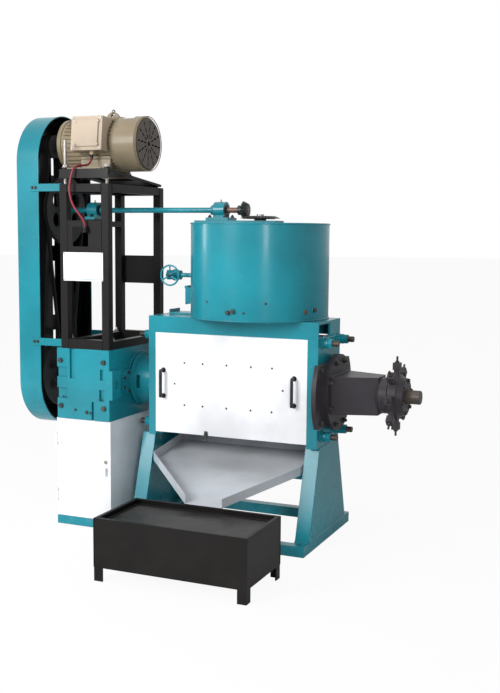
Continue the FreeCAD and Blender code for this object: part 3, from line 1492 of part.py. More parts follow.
def oil_tray():
    """Sloping sheet tray under the cage: folded side and rear walls, open at the front lip."""
    outer = tray_prism(0, 0, tray_wall)
    inner = tray_prism(tray_sheet, tray_sheet, tray_wall + 10)
    mouth = box(tray_lip_left + tray_sheet, tray_lip_right - tray_sheet, tray_lip_y - 10, tray_lip_y + 3,
                tray_lip_z + tray_sheet, tray_lip_z + tray_wall + 10)
    return cut(outer, [inner, mouth])


def tray_rails():
    """Two cross bars between the legs that carry the tray."""
    rails = []
    for y in (tray_rail_front, tray_rail_rear):
        top = tray_floor_z(y - tray_rail / 2)
        bar = box(-leg_spacing / 2 - leg_width / 2 + leg_plate, leg_spacing / 2 + leg_width / 2 - leg_plate,
                  y - tray_rail / 2, y + tray_rail / 2, top - tray_rail, top)
        rails.append(bar)
    return rails


def catch_box():
    """Open oil box on four angle legs, with a folded rim."""
    right, rear = box_left + box_length, box_front + box_depth
    outer = box(box_left, right, box_front, rear, box_bottom, box_top)
    inner = box(box_left + box_wall, right - box_wall, box_front + box_wall, rear - box_wall,
                box_bottom + box_wall, box_top)
    rim_outer = box(box_left, right, box_front, rear, box_top - box_wall, box_top)
    rim_inner = box(box_left + 16, right - 16, box_front + 16, rear - 16, box_top - box_wall, box_top)
    legs = []
    for x, sx in ((box_left, 1), (right, -1)):
        for y, sy in ((box_front, 1), (rear, -1)):
            block = box(min(x, x + sx * box_leg), max(x, x + sx * box_leg), min(y, y + sy * box_leg),
                        max(y, y + sy * box_leg), 0, box_bottom)
            hollow = box(min(x + sx * 6, x + sx * box_leg), max(x + sx * 6, x + sx * box_leg),
                         min(y + sy * 6, y + sy * box_leg), max(y + sy * 6, y + sy * box_leg), 0, box_bottom)
            legs.append(block.cut(hollow))
    return fuse([outer.cut(inner), rim_outer.cut(rim_inner)] + legs)


# ---------------------------------------------------------------- motor cable
def cord_gland():
    """Upright gland on a small bracket in front of the stand's cross plate."""
    y = stand_front - 16
    bracket = box(stand_gland_x - 12, stand_gland_x + 12, y - 12, stand_front, stand_gland_z - 20, stand_gland_z - 14)
    body = z_cylinder(11, stand_gland_z - 20, stand_gland_z, stand_gland_x, y)
    bore = z_cylinder(cable_radius + cable_gap, stand_gland_z - 20, stand_gland_z, stand_gland_x, y)
    return fuse([bracket, body]).cut(bore)


def cable_points():
    """Route of the cable, from inside the terminal box gland to inside the stand's gland."""
    y, z = motor_axis_level()
    starts = [tilted(Part.Vertex(V(terminal_gland_x(), y - terminal_reach + 42, z - terminal_drop - drop))).Point
              for drop in (terminal_gland - 10, terminal_gland + 28)]
    over_stand = [(-51, 95, 95), (-56, 41, 92), (-64, -13, 83), (-75, -25, 30), (-83, -27, -19), (-78, -27, -70),
                  (-57, -26, -115), (-27, -22, -153), (0, -16, -190), (0, -16, -gland_below_top - 12)]
    return starts + [V(stand_gland_x + x, stand_front + y, stand_top + z) for x, y, z in over_stand]


def cable():
    """Tube of the cable along straight runs joined by tangent arcs; prints the arc radii."""
    points = cable_points()
    edges = []
    radii = []
    start = points[0]
    for before, corner, after in zip(points, points[1:], points[2:]):
        arrive = (corner - before).normalize()
        leave = (after - corner).normalize()
        turn = arrive.getAngle(leave)
        shorter = min((corner - before).Length, (after - corner).Length)
        setback = 0.45 * shorter
        radii.append(round(setback / math.tan(turn / 2), 1))
        enter = corner - arrive * setback
        leave_point = corner + leave * setback
        towards = (leave - arrive).normalize()
        bulge = corner + towards * (setback / math.tan(turn / 2)) * (1 / math.cos(turn / 2) - 1)
        edges.append(Part.LineSegment(start, enter).toShape())
        edges.append(Part.Arc(enter, bulge, leave_point).toShape())
        start = leave_point
    edges.append(Part.LineSegment(start, points[-1]).toShape())
    path = Part.Wire(edges)
    profile = Part.Wire([Part.makeCircle(cable_radius, points[0], (points[1] - points[0]).normalize())])
    tube = path.makePipeShell([profile], True, True)
    print("cable length", round(path.Length, 1), "radii", radii,
          "volume share", round(tube.Volume / (math.pi * cable_radius ** 2 * path.Length), 5))
    return tube


def main():
    """Build every node and write its file."""
    os.makedirs("parts", exist_ok=True)
    nodes = {
        "base_frame": [base_frame(), pedestal_plinth()],
        "left_leg": [leg(-leg_spacing / 2, -1)],
        "right_leg": [leg(leg_spacing / 2, 1)],
        "left_end_plate": [end_plate(left_frame_face, left_inner_face, left_frame_face, cover_left)],
        "right_end_plate": [end_plate(right_inner_face, right_frame_face, cover_right, right_frame_face)],
        "top_beam": top_beam() + gate_guides(),
        "tie_rods": tie_rods(),
        "tie_rod_nuts": tie_rod_nuts(),
        "thrust_housing": [thrust_housing()],
        "discharge_housing": [discharge_housing()],
        "cage_upper": [cage_half(True)],
        "cage_lower": [cage_half(False)],
        "cage_bolts": cage_bolts(),
        "drainage_bars": drainage_bars(),
        "feed_throat": [feed_throat()],
        "oil_tray": [oil_tray()],
        "tray_rails": tray_rails(),
        "front_cover": [front_cover()],
        "cover_handles": cover_handles(),
        "gearbox_pedestal": [gearbox_pedestal()],
        "pedestal_door": [pedestal_door()],
        "gearbox_lower_case": [gearbox_half(False)],
        "gearbox_upper_case": [gearbox_half(True)],
        "shaft_bearings": gearbox_bearings() + [thrust_bearing()],
        "bearing_caps": bearing_caps(),
        "hex_bolts": hex_bolts(),
        "motor_stand": motor_stand() + [cord_gland()],
        "belt_guard": [belt_guard()],
        "worm_shaft": [worm_shaft()],
        "worm_segments": worm_segments(),
        "output_gear": [output_gear()],
        "layshaft": layshaft(),
        "input_shaft": [input_shaft()],
        "input_pulley": [input_pulley()],
        "motor_base": [motor_base()] + tension_nuts(),
        "tension_screws": tension_screws(),
        "motor_frame": [motor_frame()],
        "terminal_box": [terminal_box()],
        "fan_cowl": [fan_cowl()],
        "motor_rotor": motor_rotor(),
        "motor_pulley": [motor_pulley()],
        "main_belts": main_belts(),
        "line_belt": [line_belt()],
        "line_shaft": [line_shaft()],
        "line_pulley": [line_pulley()],
        "pillow_blocks": pillow_blocks(),
        "bevel_pinion": [bevel_pinion()],
        "crown_gear": [crown_gear()],
        "stirrer": [stirrer()],
        "kettle": [kettle()],
        "kettle_bridge": [kettle_bridge()],
        "steam_valve": [steam_valve()],
        "valve_handwheel": [valve_handwheel()],
        "sample_box": [sample_box()],
        "sample_flap": [sample_flap()],
        "feed_gate": [feed_gate()],
        "choke_sleeve": [choke_sleeve()],
        "adjusting_spider": [adjusting_spider()] + spider_studs() + [end_cover()],
        "catch_box": [catch_box()],
        "motor_cable": [cable()],
    }
    for name, shapes in nodes.items():
        save(name, shapes)


main()
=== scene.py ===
"""Dressed model of a screw oil press: frame, pressing section, kettle, gearbox, belt drive and motor."""
import json
import logging
import math
from dataclasses import dataclass
from enum import Enum
from typing import Iterable, Optional, Sequence, Union

import bmesh
import bpy
from mathutils import Matrix, Vector


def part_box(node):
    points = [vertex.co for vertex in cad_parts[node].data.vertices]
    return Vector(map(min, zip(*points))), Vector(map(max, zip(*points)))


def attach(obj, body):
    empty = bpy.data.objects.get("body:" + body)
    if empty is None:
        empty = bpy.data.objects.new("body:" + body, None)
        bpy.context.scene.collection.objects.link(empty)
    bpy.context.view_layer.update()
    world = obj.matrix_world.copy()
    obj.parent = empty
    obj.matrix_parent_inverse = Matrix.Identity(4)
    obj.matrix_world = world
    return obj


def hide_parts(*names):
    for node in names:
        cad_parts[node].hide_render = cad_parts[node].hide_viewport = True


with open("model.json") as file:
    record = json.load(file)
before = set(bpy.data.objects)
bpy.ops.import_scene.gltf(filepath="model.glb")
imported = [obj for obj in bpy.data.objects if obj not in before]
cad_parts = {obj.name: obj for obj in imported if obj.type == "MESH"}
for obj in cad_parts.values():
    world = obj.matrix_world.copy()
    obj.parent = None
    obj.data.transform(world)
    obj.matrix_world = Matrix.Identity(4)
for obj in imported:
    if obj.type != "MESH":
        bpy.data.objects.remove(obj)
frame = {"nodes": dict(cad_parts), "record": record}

LOG = logging.getLogger("oil_press")
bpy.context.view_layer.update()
Colour = tuple[float, float, float]
Point = Sequence[float]
X, Y, Z = Vector((1, 0, 0)), Vector((0, 1, 0)), Vector((0, 0, 1))


class Body(Enum):
    """The moving groups of the press that a piece can ride on."""

    PRESS = "press"
    COVER = "cover"
    MOTOR = "motor"
    ROTOR = "rotor"
    DRIVE = "drive_shaft"
    LINE = "overhead_shaft"
    STIRRER = "kettle_stirrer"
    SPIDER = "spider"
    HANDWHEEL = "handwheel"
    GATE = "gate"
    DOOR = "door"
    OIL_BOX = "oil_box"
    WORM = "main_shaft"


# ------------------------------------------------------------------ shader building
class Sock:
    """A value in a node tree; arithmetic on it adds Math nodes."""

    def __init__(self, graph: "Graph", socket: bpy.types.NodeSocket) -> None:
        """Wrap one output socket.

        Args:
            graph: the node tree's builder.
            socket: the output socket that holds the value.
        """
        self.graph = graph
        self.socket = socket

    def _maths(self, operation: str, first: "Value", second: "Value") -> "Sock":
        """Add a Math node.

        Args:
            operation: the node's operation.
            first: its first value.
            second: its second value.

        Returns:
            The node's result.
        """
        return self.graph.node("ShaderNodeMath", {"operation": operation}, {0: first, 1: second})

    def __add__(self, other: "Value") -> "Sock":
        """Sum."""
        return self._maths("ADD", self, other)

    def __radd__(self, other: "Value") -> "Sock":
        """Reflected sum."""
        return self._maths("ADD", other, self)

    def __sub__(self, other: "Value") -> "Sock":
        """Difference."""
        return self._maths("SUBTRACT", self, other)

    def __rsub__(self, other: "Value") -> "Sock":
        """Reflected difference."""
        return self._maths("SUBTRACT", other, self)

    def __mul__(self, other: "Value") -> "Sock":
        """Product."""
        return self._maths("MULTIPLY", self, other)

    def __rmul__(self, other: "Value") -> "Sock":
        """Reflected product."""
        return self._maths("MULTIPLY", other, self)

    def __gt__(self, other: "Value") -> "Sock":
        """One where this is greater, else zero."""
        return self._maths("GREATER_THAN", self, other)

    def __lt__(self, other: "Value") -> "Sock":
        """One where this is less, else zero."""
        return self._maths("LESS_THAN", self, other)

    def clamped(self) -> "Sock":
        """Kept between zero and one."""
        return self.graph.node("ShaderNodeClamp", {}, {"Value": self})

    def band(self, low: float, high: float) -> "Sock":
        """Rise smoothly from zero at low to one at high.

        Args:
            low: where the result is still zero.
            high: where it has reached one.

        Returns:
            The smoothed step.
        """
        return self.graph.node("ShaderNodeMapRange", {"interpolation_type": "SMOOTHSTEP"},
                               {"Value": self, "From Min": low, "From Max": high})


Value = Union[Sock, float, Colour, Vector]


class Graph:
    """Builds the node tree of one material or world."""

    def __init__(self, name: str, world: bool = False) -> None:
        """Start a material or a world.

        Args:
            name: its name.
            world: whether it is a world.
        """
        self.material = (bpy.data.worlds if world else bpy.data.materials).new(name)
        self.material.use_nodes = True
        self.tree = self.material.node_tree
        self.surface = self.tree.nodes["Background" if world else "Principled BSDF"]

    def put(self, socket: bpy.types.NodeSocket, value: Value) -> None:
        """Link or set one input.

        Args:
            socket: the input.
            value: a Sock to link, or a number, colour or vector.
        """
        if isinstance(value, Sock):
            self.tree.links.new(value.socket, socket)
        elif socket.type == "RGBA" and len(value) == 3:
            socket.default_value = (*value, 1.0)
        else:
            socket.default_value = value

    def node(self, kind: str, settings: dict, inputs: dict, output: Union[int, str] = 0) -> Sock:
        """Add any node.

        Args:
            kind: the node's type.
            settings: its own settings, set first; "stops" gives a ramp's (position, colour) pairs.
            inputs: values or links by input name or index.
            output: which output to return.

        Returns:
            The chosen output.
        """
        made = self.tree.nodes.new(kind)
        for key, value in settings.items():
            if key == "stops":
                ramp = made.color_ramp.elements
                while len(ramp) < len(value):
                    ramp.new(0.5)
                for element, (position, colour) in zip(ramp, value):
                    element.position = position
                    element.color = (*colour, 1.0)
            else:
                setattr(made, key, value)
        for key, value in inputs.items():
            self.put(made.inputs[key], value)
        return Sock(self, made.outputs[output])

    def place(self) -> Sock:
        """Position on the machine, in metres."""
        return self.node("ShaderNodeTexCoord", {}, {}, "Object")

    def axis(self, vector: Sock, name: str) -> Sock:
        """One component of a vector, named X, Y or Z."""
        return self.node("ShaderNodeSeparateXYZ", {}, {0: vector}, name)

    def facing(self) -> Sock:
        """The surface's own normal."""
        return self.node("ShaderNodeNewGeometry", {}, {}, "Normal")

    def noise(self, scale: float, detail: float = 3.0, stretch: Point = (1, 1, 1)) -> Sock:
        """Smooth noise over the piece.

        Args:
            scale: how fine it is.
            detail: how many finer layers it has.
            stretch: scale along each axis.

        Returns:
            The noise, around one half.
        """
        spread = self.node("ShaderNodeMapping", {}, {"Vector": self.place(), "Scale": Vector(stretch)})
        return self.node("ShaderNodeTexNoise", {}, {"Vector": spread, "Scale": scale, "Detail": detail})

    def blend(self, factor: Value, low: Value, high: Value) -> Sock:
        """Mix two colours.

        Args:
            factor: zero for low, one for high.
            low: the first colour.
            high: the second colour.

        Returns:
            The mixed colour.
        """
        return self.node("ShaderNodeMix", {"data_type": "RGBA"}, {0: factor, 6: low, 7: high}, 2)

    def rounded(self, radius: float) -> Sock:
        """Normal with softened edges."""
        return self.node("ShaderNodeBevel", {"samples": 4}, {"Radius": radius})

    def edges(self, radius: float) -> Sock:
        """One on outer edges, zero on flats."""
        agree = self.node("ShaderNodeVectorMath", {"operation": "DOT_PRODUCT"},
                          {0: self.rounded(radius), 1: self.facing()}, "Value")
        return (1.0 - agree).band(0.02, 0.25)

    def bump(self, height: Sock, depth: float, strength: float, radius: float) -> Sock:
        """Surface relief over softened edges.

        Args:
            height: the relief.
            depth: its depth in metres.
            strength: how much it shows.
            radius: radius of the softened edges.

        Returns:
            The new normal.
        """
        return self.node("ShaderNodeBump", {}, {"Strength": strength, "Distance": depth, "Height": height,
                                                "Normal": self.rounded(radius)})

    def close(self, **sockets: Value) -> bpy.types.Material:
        """Set the surface's sockets by name, with underscores for spaces.

        Args:
            **sockets: the values or links.

        Returns:
            The finished material.
        """
        for key, value in sockets.items():
            self.put(self.surface.inputs[key.replace("_", " ")], value)
        return self.material


# ------------------------------------------------------------------ finishes
@dataclass(frozen=True)
class Enamel:
    """Sprayed enamel: gloss coat, slight orange peel, paler dusty tops, chips on edges."""

    name: str
    colour: Colour
    rough: float = 0.3
    coat: float = 0.15
    gloss: float = 0.25
    peel: float = 0.25
    chips: float = 0.58
    under: Colour = (0.09, 0.085, 0.08)
    dust: float = 0.06
    dust_colour: Colour = (0.45, 0.42, 0.37)
    edge_radius: float = 0.0022

    def tint(self, graph: Graph) -> Value:
        """The paint's own colour over the surface."""
        broad = graph.noise(2.6, 4.0)
        deep = tuple(c * 0.8 for c in self.colour)
        light = tuple(min(1.0, c * 1.14) for c in self.colour)
        return graph.blend(broad.band(0.3, 0.7), deep, light)

    def build(self) -> bpy.types.Material:
        """Make the material."""
        graph = Graph(self.name)
        fine = graph.noise(140.0, 2.0)
        patches = graph.noise(22.0, 5.0)
        edge = graph.edges(self.edge_radius)
        worn = (edge * patches.band(self.chips, self.chips + 0.12)).clamped()
        up = graph.axis(graph.facing(), "Z").band(0.55, 0.98)
        low = 1.0 - graph.axis(graph.place(), "Z").band(0.0, 0.35)
        dusty = ((up + low * 0.8) * graph.noise(9.0, 5.0).band(0.35, 0.75) * self.dust).clamped()
        painted = graph.blend(dusty, self.tint(graph), self.dust_colour)
        colour = graph.blend(worn * 0.85, painted, self.under)
        rough = (self.rough + dusty * 0.9 + worn * 0.25 + (patches - 0.5) * 0.08).clamped()
        normal = graph.bump(fine * 0.6 + patches * 0.4, 0.0005, self.peel, self.edge_radius)
        return graph.close(Base_Color=colour, Roughness=rough, Normal=normal, Coat_Weight=self.coat,
                           Coat_Roughness=0.09, Specular_IOR_Level=self.gloss)


@dataclass(frozen=True)
class GuardShadeEnamel(Enamel):
    """Enamel on the belt guard, whose inward faces carry painted shade: near-black for the shade in the
    guard's hollow.
    """

    axis_y: float = -0.035
    low_z: float = 0.72
    high_z: float = 1.848
    mouth_x: float = -1.004
    back_x: float = -1.12

    def tint(self, graph: Graph) -> Value:
        """Outside paint, and painted shade (near-black) on the faces that look inwards."""
        place, facing = graph.place(), graph.facing()
        height = graph.axis(place, "Z")
        middle = graph.node("ShaderNodeClamp", {}, {"Value": height, "Min": self.low_z, "Max": self.high_z})
        across = graph.axis(place, "Y") - self.axis_y
        inward = graph.axis(facing, "Y") * across + graph.axis(facing, "Z") * (height - middle)
        along = graph.axis(place, "X")
        back = (graph.axis(facing, "X") > 0.5) * (along < self.back_x)
        inside = ((inward < -0.02) * (along < self.mouth_x) + back).clamped()
        # near-black on the inward faces is painted shade of the guard's hollow, not a paint colour
        return graph.blend(inside, super().tint(graph), (0.0015, 0.0015, 0.002))


@dataclass(frozen=True)
class ShaftEnamel(Enamel):
    """Enamel on the line shaft, left bare and browned beyond the kettle's bearing."""

    bare_x: float = -0.142

    def tint(self, graph: Graph) -> Value:
        """Paint up to the bearing and brown steel beyond it."""
        bare = graph.axis(graph.place(), "X") > self.bare_x
        brown = graph.blend(graph.noise(60.0, 4.0), (0.1, 0.045, 0.03), (0.23, 0.12, 0.085))
        return graph.blend(bare, super().tint(graph), brown)


@dataclass(frozen=True)
class Steel:
    """Machined steel with turning marks and an oily tarnish."""

    name: str
    colour: Colour = (0.4, 0.38, 0.36)
    rough: float = 0.32
    metal: float = 0.9
    rust: float = 0.25
    marks: Point = (260.0, 6.0, 6.0)

    def build(self) -> bpy.types.Material:
        """Make the material."""
        graph = Graph(self.name)
        lines = graph.noise(1.0, 2.0, self.marks)
        stain = graph.noise(14.0, 6.0).band(0.45, 0.75)
        shade = graph.blend(lines, tuple(c * 0.75 for c in self.colour), self.colour)
        colour = graph.blend(stain * self.rust, shade, (0.16, 0.085, 0.05))
        rough = (self.rough + stain * 0.22 + (lines - 0.5) * 0.12).clamped()
        normal = graph.bump(lines, 0.0003, 0.25, 0.0012)
        return graph.close(Base_Color=colour, Roughness=rough, Normal=normal,
                           Metallic=(self.metal - stain * 0.25).clamped())


@dataclass(frozen=True)
class Cast:
    """Sand-cast iron or painted casting, with a coarse skin."""

    name: str
    colour: Colour
    rough: float = 0.55
    grain: float = 0.5
    gloss: float = 0.2
    dusty: float = 0.05

    def build(self) -> bpy.types.Material:
        """Make the material."""
        graph = Graph(self.name)
        skin = graph.noise(170.0, 4.0)
        broad = graph.noise(7.0, 5.0)
        up = graph.axis(graph.facing(), "Z").band(0.4, 0.95) * broad.band(0.35, 0.7) * self.dusty
        shade = graph.blend(broad, tuple(c * 0.7 for c in self.colour), tuple(c * 1.3 for c in self.colour))
        colour = graph.blend(up, shade, (0.34, 0.31, 0.27))
        polished = graph.edges(0.0025) * broad.band(0.4, 0.6)
        colour = graph.blend(polished * 0.35, colour, (0.2, 0.19, 0.185))
        rough = (self.rough + (skin - 0.5) * 0.25 - polished * 0.15).clamped()
        normal = graph.bump(skin * 0.7 + broad * 0.3, 0.0011, self.grain, 0.003)
        return graph.close(Base_Color=colour, Roughness=rough, Normal=normal, Specular_IOR_Level=self.gloss)


@dataclass(frozen=True)
class CowlShadeEnamel(Enamel):
    """Motor enamel with painted shade on the cowl's end: the end face, on the shaded side, is painted dark
    brown.
    """

    end_x: float = -0.5002

    def tint(self, graph: Graph) -> Value:
        """Plain paint around, painted shade in dark brown on the end face."""
        end = graph.axis(graph.place(), "X").band(self.end_x - 0.006, self.end_x)
        # the dark brown on the end face is painted shade, not the motor's own paint
        dark = graph.blend(graph.noise(30.0, 4.0), (0.034, 0.026, 0.02), (0.085, 0.062, 0.048))
        return graph.blend(end, super().tint(graph), dark)


@dataclass(frozen=True)
class Strainer:
    """Oily perforated sheet: rows of small holes in dark steel, with the holes painted near-black as shade.
    """

    name: str
    colour: Colour = (0.05, 0.046, 0.044)
    rows: float = 125.0

    def build(self) -> bpy.types.Material:
        """Make the material."""
        graph = Graph(self.name)
        spots = graph.node("ShaderNodeTexVoronoi", {"voronoi_dimensions": "2D"},
                           {"Vector": graph.place(), "Scale": self.rows, "Randomness": 0.0})
        hole = 1.0 - spots.band(0.22, 0.3)
        smear = graph.noise(5.0, 5.0).band(0.35, 0.7)
        wet = graph.blend(smear, self.colour, tuple(c * 0.5 for c in self.colour))
        # the holes' near-black colour is painted shade of the box below them
        colour = graph.blend(hole, wet, (0.004, 0.004, 0.004))
        rough = (0.55 - smear * 0.25 + hole * 0.2).clamped()
        normal = graph.bump(1.0 - hole, 0.0012, 0.7, 0.001)
        return graph.close(Base_Color=colour, Roughness=rough, Normal=normal, Specular_IOR_Level=0.3)


@dataclass(frozen=True)
class Moulded:
    """Rubber or plastic with a fine moulded grain."""

    name: str
    colour: Colour
    rough: float = 0.6
    grain: float = 0.3

    def build(self) -> bpy.types.Material:
        """Make the material."""
        graph = Graph(self.name)
        grain = graph.noise(420.0, 2.0)
        broad = graph.noise(30.0, 4.0)
        colour = graph.blend(broad, tuple(c * 0.75 for c in self.colour),
                             tuple(min(1.0, c * 1.3) for c in self.colour))
        rough = (self.rough + (broad - 0.5) * 0.2).clamped()
        normal = graph.bump(grain, 0.0003, self.grain, 0.0012)
        return graph.close(Base_Color=colour, Roughness=rough, Normal=normal, Specular_IOR_Level=0.3)


TEAL = Enamel("teal_enamel", (0.0105, 0.225, 0.285), rough=0.26)
FINISHES = {
    "teal_paint": TEAL,
    "bare_steel": Steel("machined_steel", (0.36, 0.34, 0.32), 0.38),
    "dark_steel": Steel("blackened_steel", (0.035, 0.035, 0.035), 0.45, 0.3, 0.3, (40.0, 40.0, 40.0)),
    "grey_iron": Cast("grey_iron", (0.05, 0.05, 0.05)),
    "black_casting": Cast("black_casting", (0.033, 0.029, 0.035), 0.42, 0.4),
    "white_sheet": Enamel("white_enamel", (0.83, 0.84, 0.87), 0.34, 0.1, 0.2, 0.1, 0.7, dust=0.03),
    "grey_sheet": Enamel("grey_enamel", (0.46, 0.49, 0.53), 0.4, 0.1, 0.2, 0.2, 0.64, dust=0.1,
                         dust_colour=(0.38, 0.34, 0.28)),
    "black_paint": Enamel("black_enamel", (0.0095, 0.0085, 0.0082), 0.42, 0.03, 0.12, 0.3, 0.66,
                          under=(0.12, 0.1, 0.09), dust=0.02),
    "motor_paint": Enamel("motor_enamel", (0.25, 0.205, 0.135), 0.4, 0.1, 0.25, 0.35, 0.62, dust=0.08),
    "terminal_paint": Enamel("terminal_enamel", (0.41, 0.335, 0.255), 0.42, 0.05, 0.2, 0.35, 0.64, dust=0.06),
    "belt_rubber": Moulded("belt_rubber", (0.008, 0.008, 0.0085), 0.7, 0.5),
    "cable_jacket": Moulded("cable_jacket", (0.24, 0.022, 0.04), 0.42, 0.2),
    "handle_plastic": Moulded("handle_plastic", (0.008, 0.008, 0.009), 0.4, 0.25),
}
OILY = Steel("oily_steel", (0.075, 0.062, 0.055), 0.4, 0.55, 0.4)
SPECIAL = {
    "belt_guard": GuardShadeEnamel("guard_enamel_inner_shade", TEAL.colour, TEAL.rough),
    "line_shaft": ShaftEnamel("shaft_enamel", TEAL.colour, 0.34),
    "fan_cowl": CowlShadeEnamel("cowl_enamel_end_shade", (0.25, 0.205, 0.135), 0.4, 0.1),
    "worm_shaft": OILY,
    "tie_rods": Steel("rusty_thread", (0.1, 0.08, 0.07), 0.5, 0.6, 0.6),
    "bevel_pinion": Cast("greased_gear", (0.022, 0.03, 0.031), 0.35, 0.3, 0.3),
    "crown_gear": Cast("greased_crown", (0.03, 0.034, 0.034), 0.35, 0.3, 0.3),
}


class Paintshop:
    """Builds each finish once and hands it out."""

    def __init__(self) -> None:
        """Start with no finish made."""
        self.made: dict[str, bpy.types.Material] = {}

    def get(self, slot: str) -> bpy.types.Material:
        """The finish of a material slot.

        Args:
            slot: the record's slot name.

        Returns:
            Its material.
        """
        if slot not in self.made:
            self.made[slot] = FINISHES[slot].build()
        return self.made[slot]

    def dress_solids(self) -> None:
        """Give every CAD node its finish and smooth its round faces."""
        slots = {part["node"]: part["material_slot"] for part in frame["record"]["subparts"]}
        for name, node in frame["nodes"].items():
            material = SPECIAL[name].build() if name in SPECIAL else self.get(slots[name])
            node.data.materials.clear()
            node.data.materials.append(material)
            node.data.shade_smooth()
            node.data.set_sharp_from_angle(angle=math.radians(28))
            LOG.info("dressed %s", name)


# ------------------------------------------------------------------ mesh building
class Mesher:
    """Collects mesh parts of one piece."""

    def __init__(self, shift: Optional[Matrix] = None) -> None:
        """Start an empty piece.

        Args:
            shift: a transform for every part that is added.
        """
        self.mesh = bmesh.new()
        self.shift = shift or Matrix.Identity(4)

    def rings(self, rings: Sequence[Sequence[Vector]], closed_ends: bool = True) -> None:
        """Skin a row of equal closed rings.

        Args:
            rings: rings of points, each with the same count.
            closed_ends: cap the first and last ring.
        """
        rows = [[self.mesh.verts.new(self.shift @ point) for point in ring] for ring in rings]
        count = len(rows[0])
        for near, far in zip(rows, rows[1:]):
            for i in range(count):
                j = (i + 1) % count
                self.mesh.faces.new((near[i], near[j], far[j], far[i]))
        if closed_ends:
            self.mesh.faces.new(list(reversed(rows[0])))
            self.mesh.faces.new(rows[-1])

    @staticmethod
    def square_to(direction: Vector) -> tuple[Vector, Vector]:
        """Two unit vectors square to a direction."""
        side = direction.cross(Z if abs(direction.z) < 0.9 else X).normalized()
        return side, direction.cross(side).normalized()

    def turned(self, origin: Point, direction: Point, profile: Iterable[tuple[float, float]], sides: int = 28,
               phase: float = 0.0) -> None:
        """Add a turned shape.

        Args:
            origin: where its axis starts.
            direction: along its axis.
            profile: (radius, distance along) pairs from one end to the other.
            sides: number of sides.
            phase: turn of the first side, in degrees.
        """
        along = Vector(direction).normalized()
        side, up = self.square_to(along)
        start = Vector(origin)
        rings = []
        for radius, reach in profile:
            angles = [2 * math.pi * i / sides + math.radians(phase) for i in range(sides)]
            rings.append([start + along * reach + (side * math.cos(a) + up * math.sin(a)) * radius
                          for a in angles])
        self.rings(rings)

    def bolt(self, origin: Point, direction: Point, size: float, tip: float = 0.0) -> None:
        """Add a washer and a hexagon head, or a nut with a stud's tip.

        Args:
            origin: the seat.
            direction: away from the seat.
            size: shank diameter.
            tip: how far a stud stands past the nut.
        """
        washer, head = size * 0.16, size * 0.68
        self.turned(origin, direction, [(size * 1.02, 0), (size * 1.05, washer * 0.5), (size * 1.0, washer)])
        self.turned(origin, direction, [(size * 0.86, washer), (size * 0.9, washer + head * 0.1),
                                        (size * 0.9, washer + head * 0.82), (size * 0.76, washer + head)], 6)
        if tip:
            self.turned(origin, direction, [(size * 0.48, washer + head),
                                            (size * 0.48, washer + head + tip * 0.8),
                                            (size * 0.36, washer + head + tip)], 16)

    def rivet(self, origin: Point, direction: Point, radius: float) -> None:
        """Add a domed rivet head."""
        self.turned(origin, direction, [(radius, 0), (radius * 0.96, radius * 0.22),
                                        (radius * 0.75, radius * 0.45),
                                        (radius * 0.4, radius * 0.6), (radius * 0.05, radius * 0.65)], 16)

    def tube(self, points: Sequence[Point], radius: float, sides: int = 10, ripple: float = 0.0) -> None:
        """Add a round bar, hem or weld bead along points.

        Args:
            points: its middle line.
            radius: its radius.
            sides: number of sides.
            ripple: share by which the radius swells and shrinks, as on a weld bead.
        """
        path = [Vector(p) for p in points]
        rings = []
        for i, point in enumerate(path):
            ahead = path[min(i + 1, len(path) - 1)] - path[max(i - 1, 0)]
            side, up = self.square_to(ahead.normalized())
            swell = radius * (1.0 + ripple * (1 if i % 2 else -1))
            rings.append([point + (side * math.cos(a) + up * math.sin(a)) * swell
                          for a in (2 * math.pi * k / sides for k in range(sides))])
        self.rings(rings)

    def weld(self, start: Point, end: Point, radius: float = 0.003) -> None:
        """Add a rippled weld bead on a straight line."""
        first, last = Vector(start), Vector(end)
        steps = max(4, int((last - first).length / (radius * 1.3)))
        self.tube([first.lerp(last, i / steps) for i in range(steps + 1)], radius, 7, 0.14)

    def ring_bar(self, centre: Point, axis: Point, radius: float, bar: float, start: float = 0.0,
                 sweep: float = 360.0, ripple: float = 0.0, steps: int = 96) -> None:
        """Add a bar or bead on an arc.

        Args:
            centre: centre of the arc.
            axis: its axis.
            radius: radius of the arc.
            bar: radius of the bar.
            start: first angle in degrees.
            sweep: angle covered.
            ripple: share of swelling along the bar.
            steps: number of steps.
        """
        side, up = self.square_to(Vector(axis).normalized())
        middle = Vector(centre)
        angles = [math.radians(start + sweep * i / steps) for i in range(steps + 1)]
        self.tube([middle + (side * math.cos(a) + up * math.sin(a)) * radius for a in angles], bar, 8, ripple)

    def thread(self, origin: Point, direction: Point, radius: float, pitch: float, length: float,
               depth: float, segments: int = 18) -> None:
        """Add a helical thread with a solid core.

        Args:
            origin: where it starts.
            direction: along its axis.
            radius: crest radius.
            pitch: advance per turn.
            length: threaded length.
            depth: from crest to root.
            segments: segments per turn.
        """
        along = Vector(direction).normalized()
        side, up = self.square_to(along)
        start = Vector(origin)
        count = int(length / pitch) * segments
        crest, root = [], []
        for i in range(count + 1):
            angle = 2 * math.pi * i / segments
            out = side * math.cos(angle) + up * math.sin(angle)
            reach = length * i / count
            crest.append(self.mesh.verts.new(self.shift @ (start + along * reach + out * radius)))
            root.append(self.mesh.verts.new(
                self.shift @ (start + along * (reach + pitch / 2) + out * (radius - depth))))
        for i in range(count):
            self.mesh.faces.new((crest[i], crest[i + 1], root[i + 1], root[i]))
            if i + segments + 1 <= count:
                self.mesh.faces.new((root[i], root[i + 1], crest[i + segments + 1], crest[i + segments]))
        core = radius - depth * 0.9
        self.turned(origin, direction, [(core * 0.8, 0), (core, depth), (core, length + pitch * 0.4),
                                        (core * 0.82, length + pitch * 0.4 + depth)], segments)

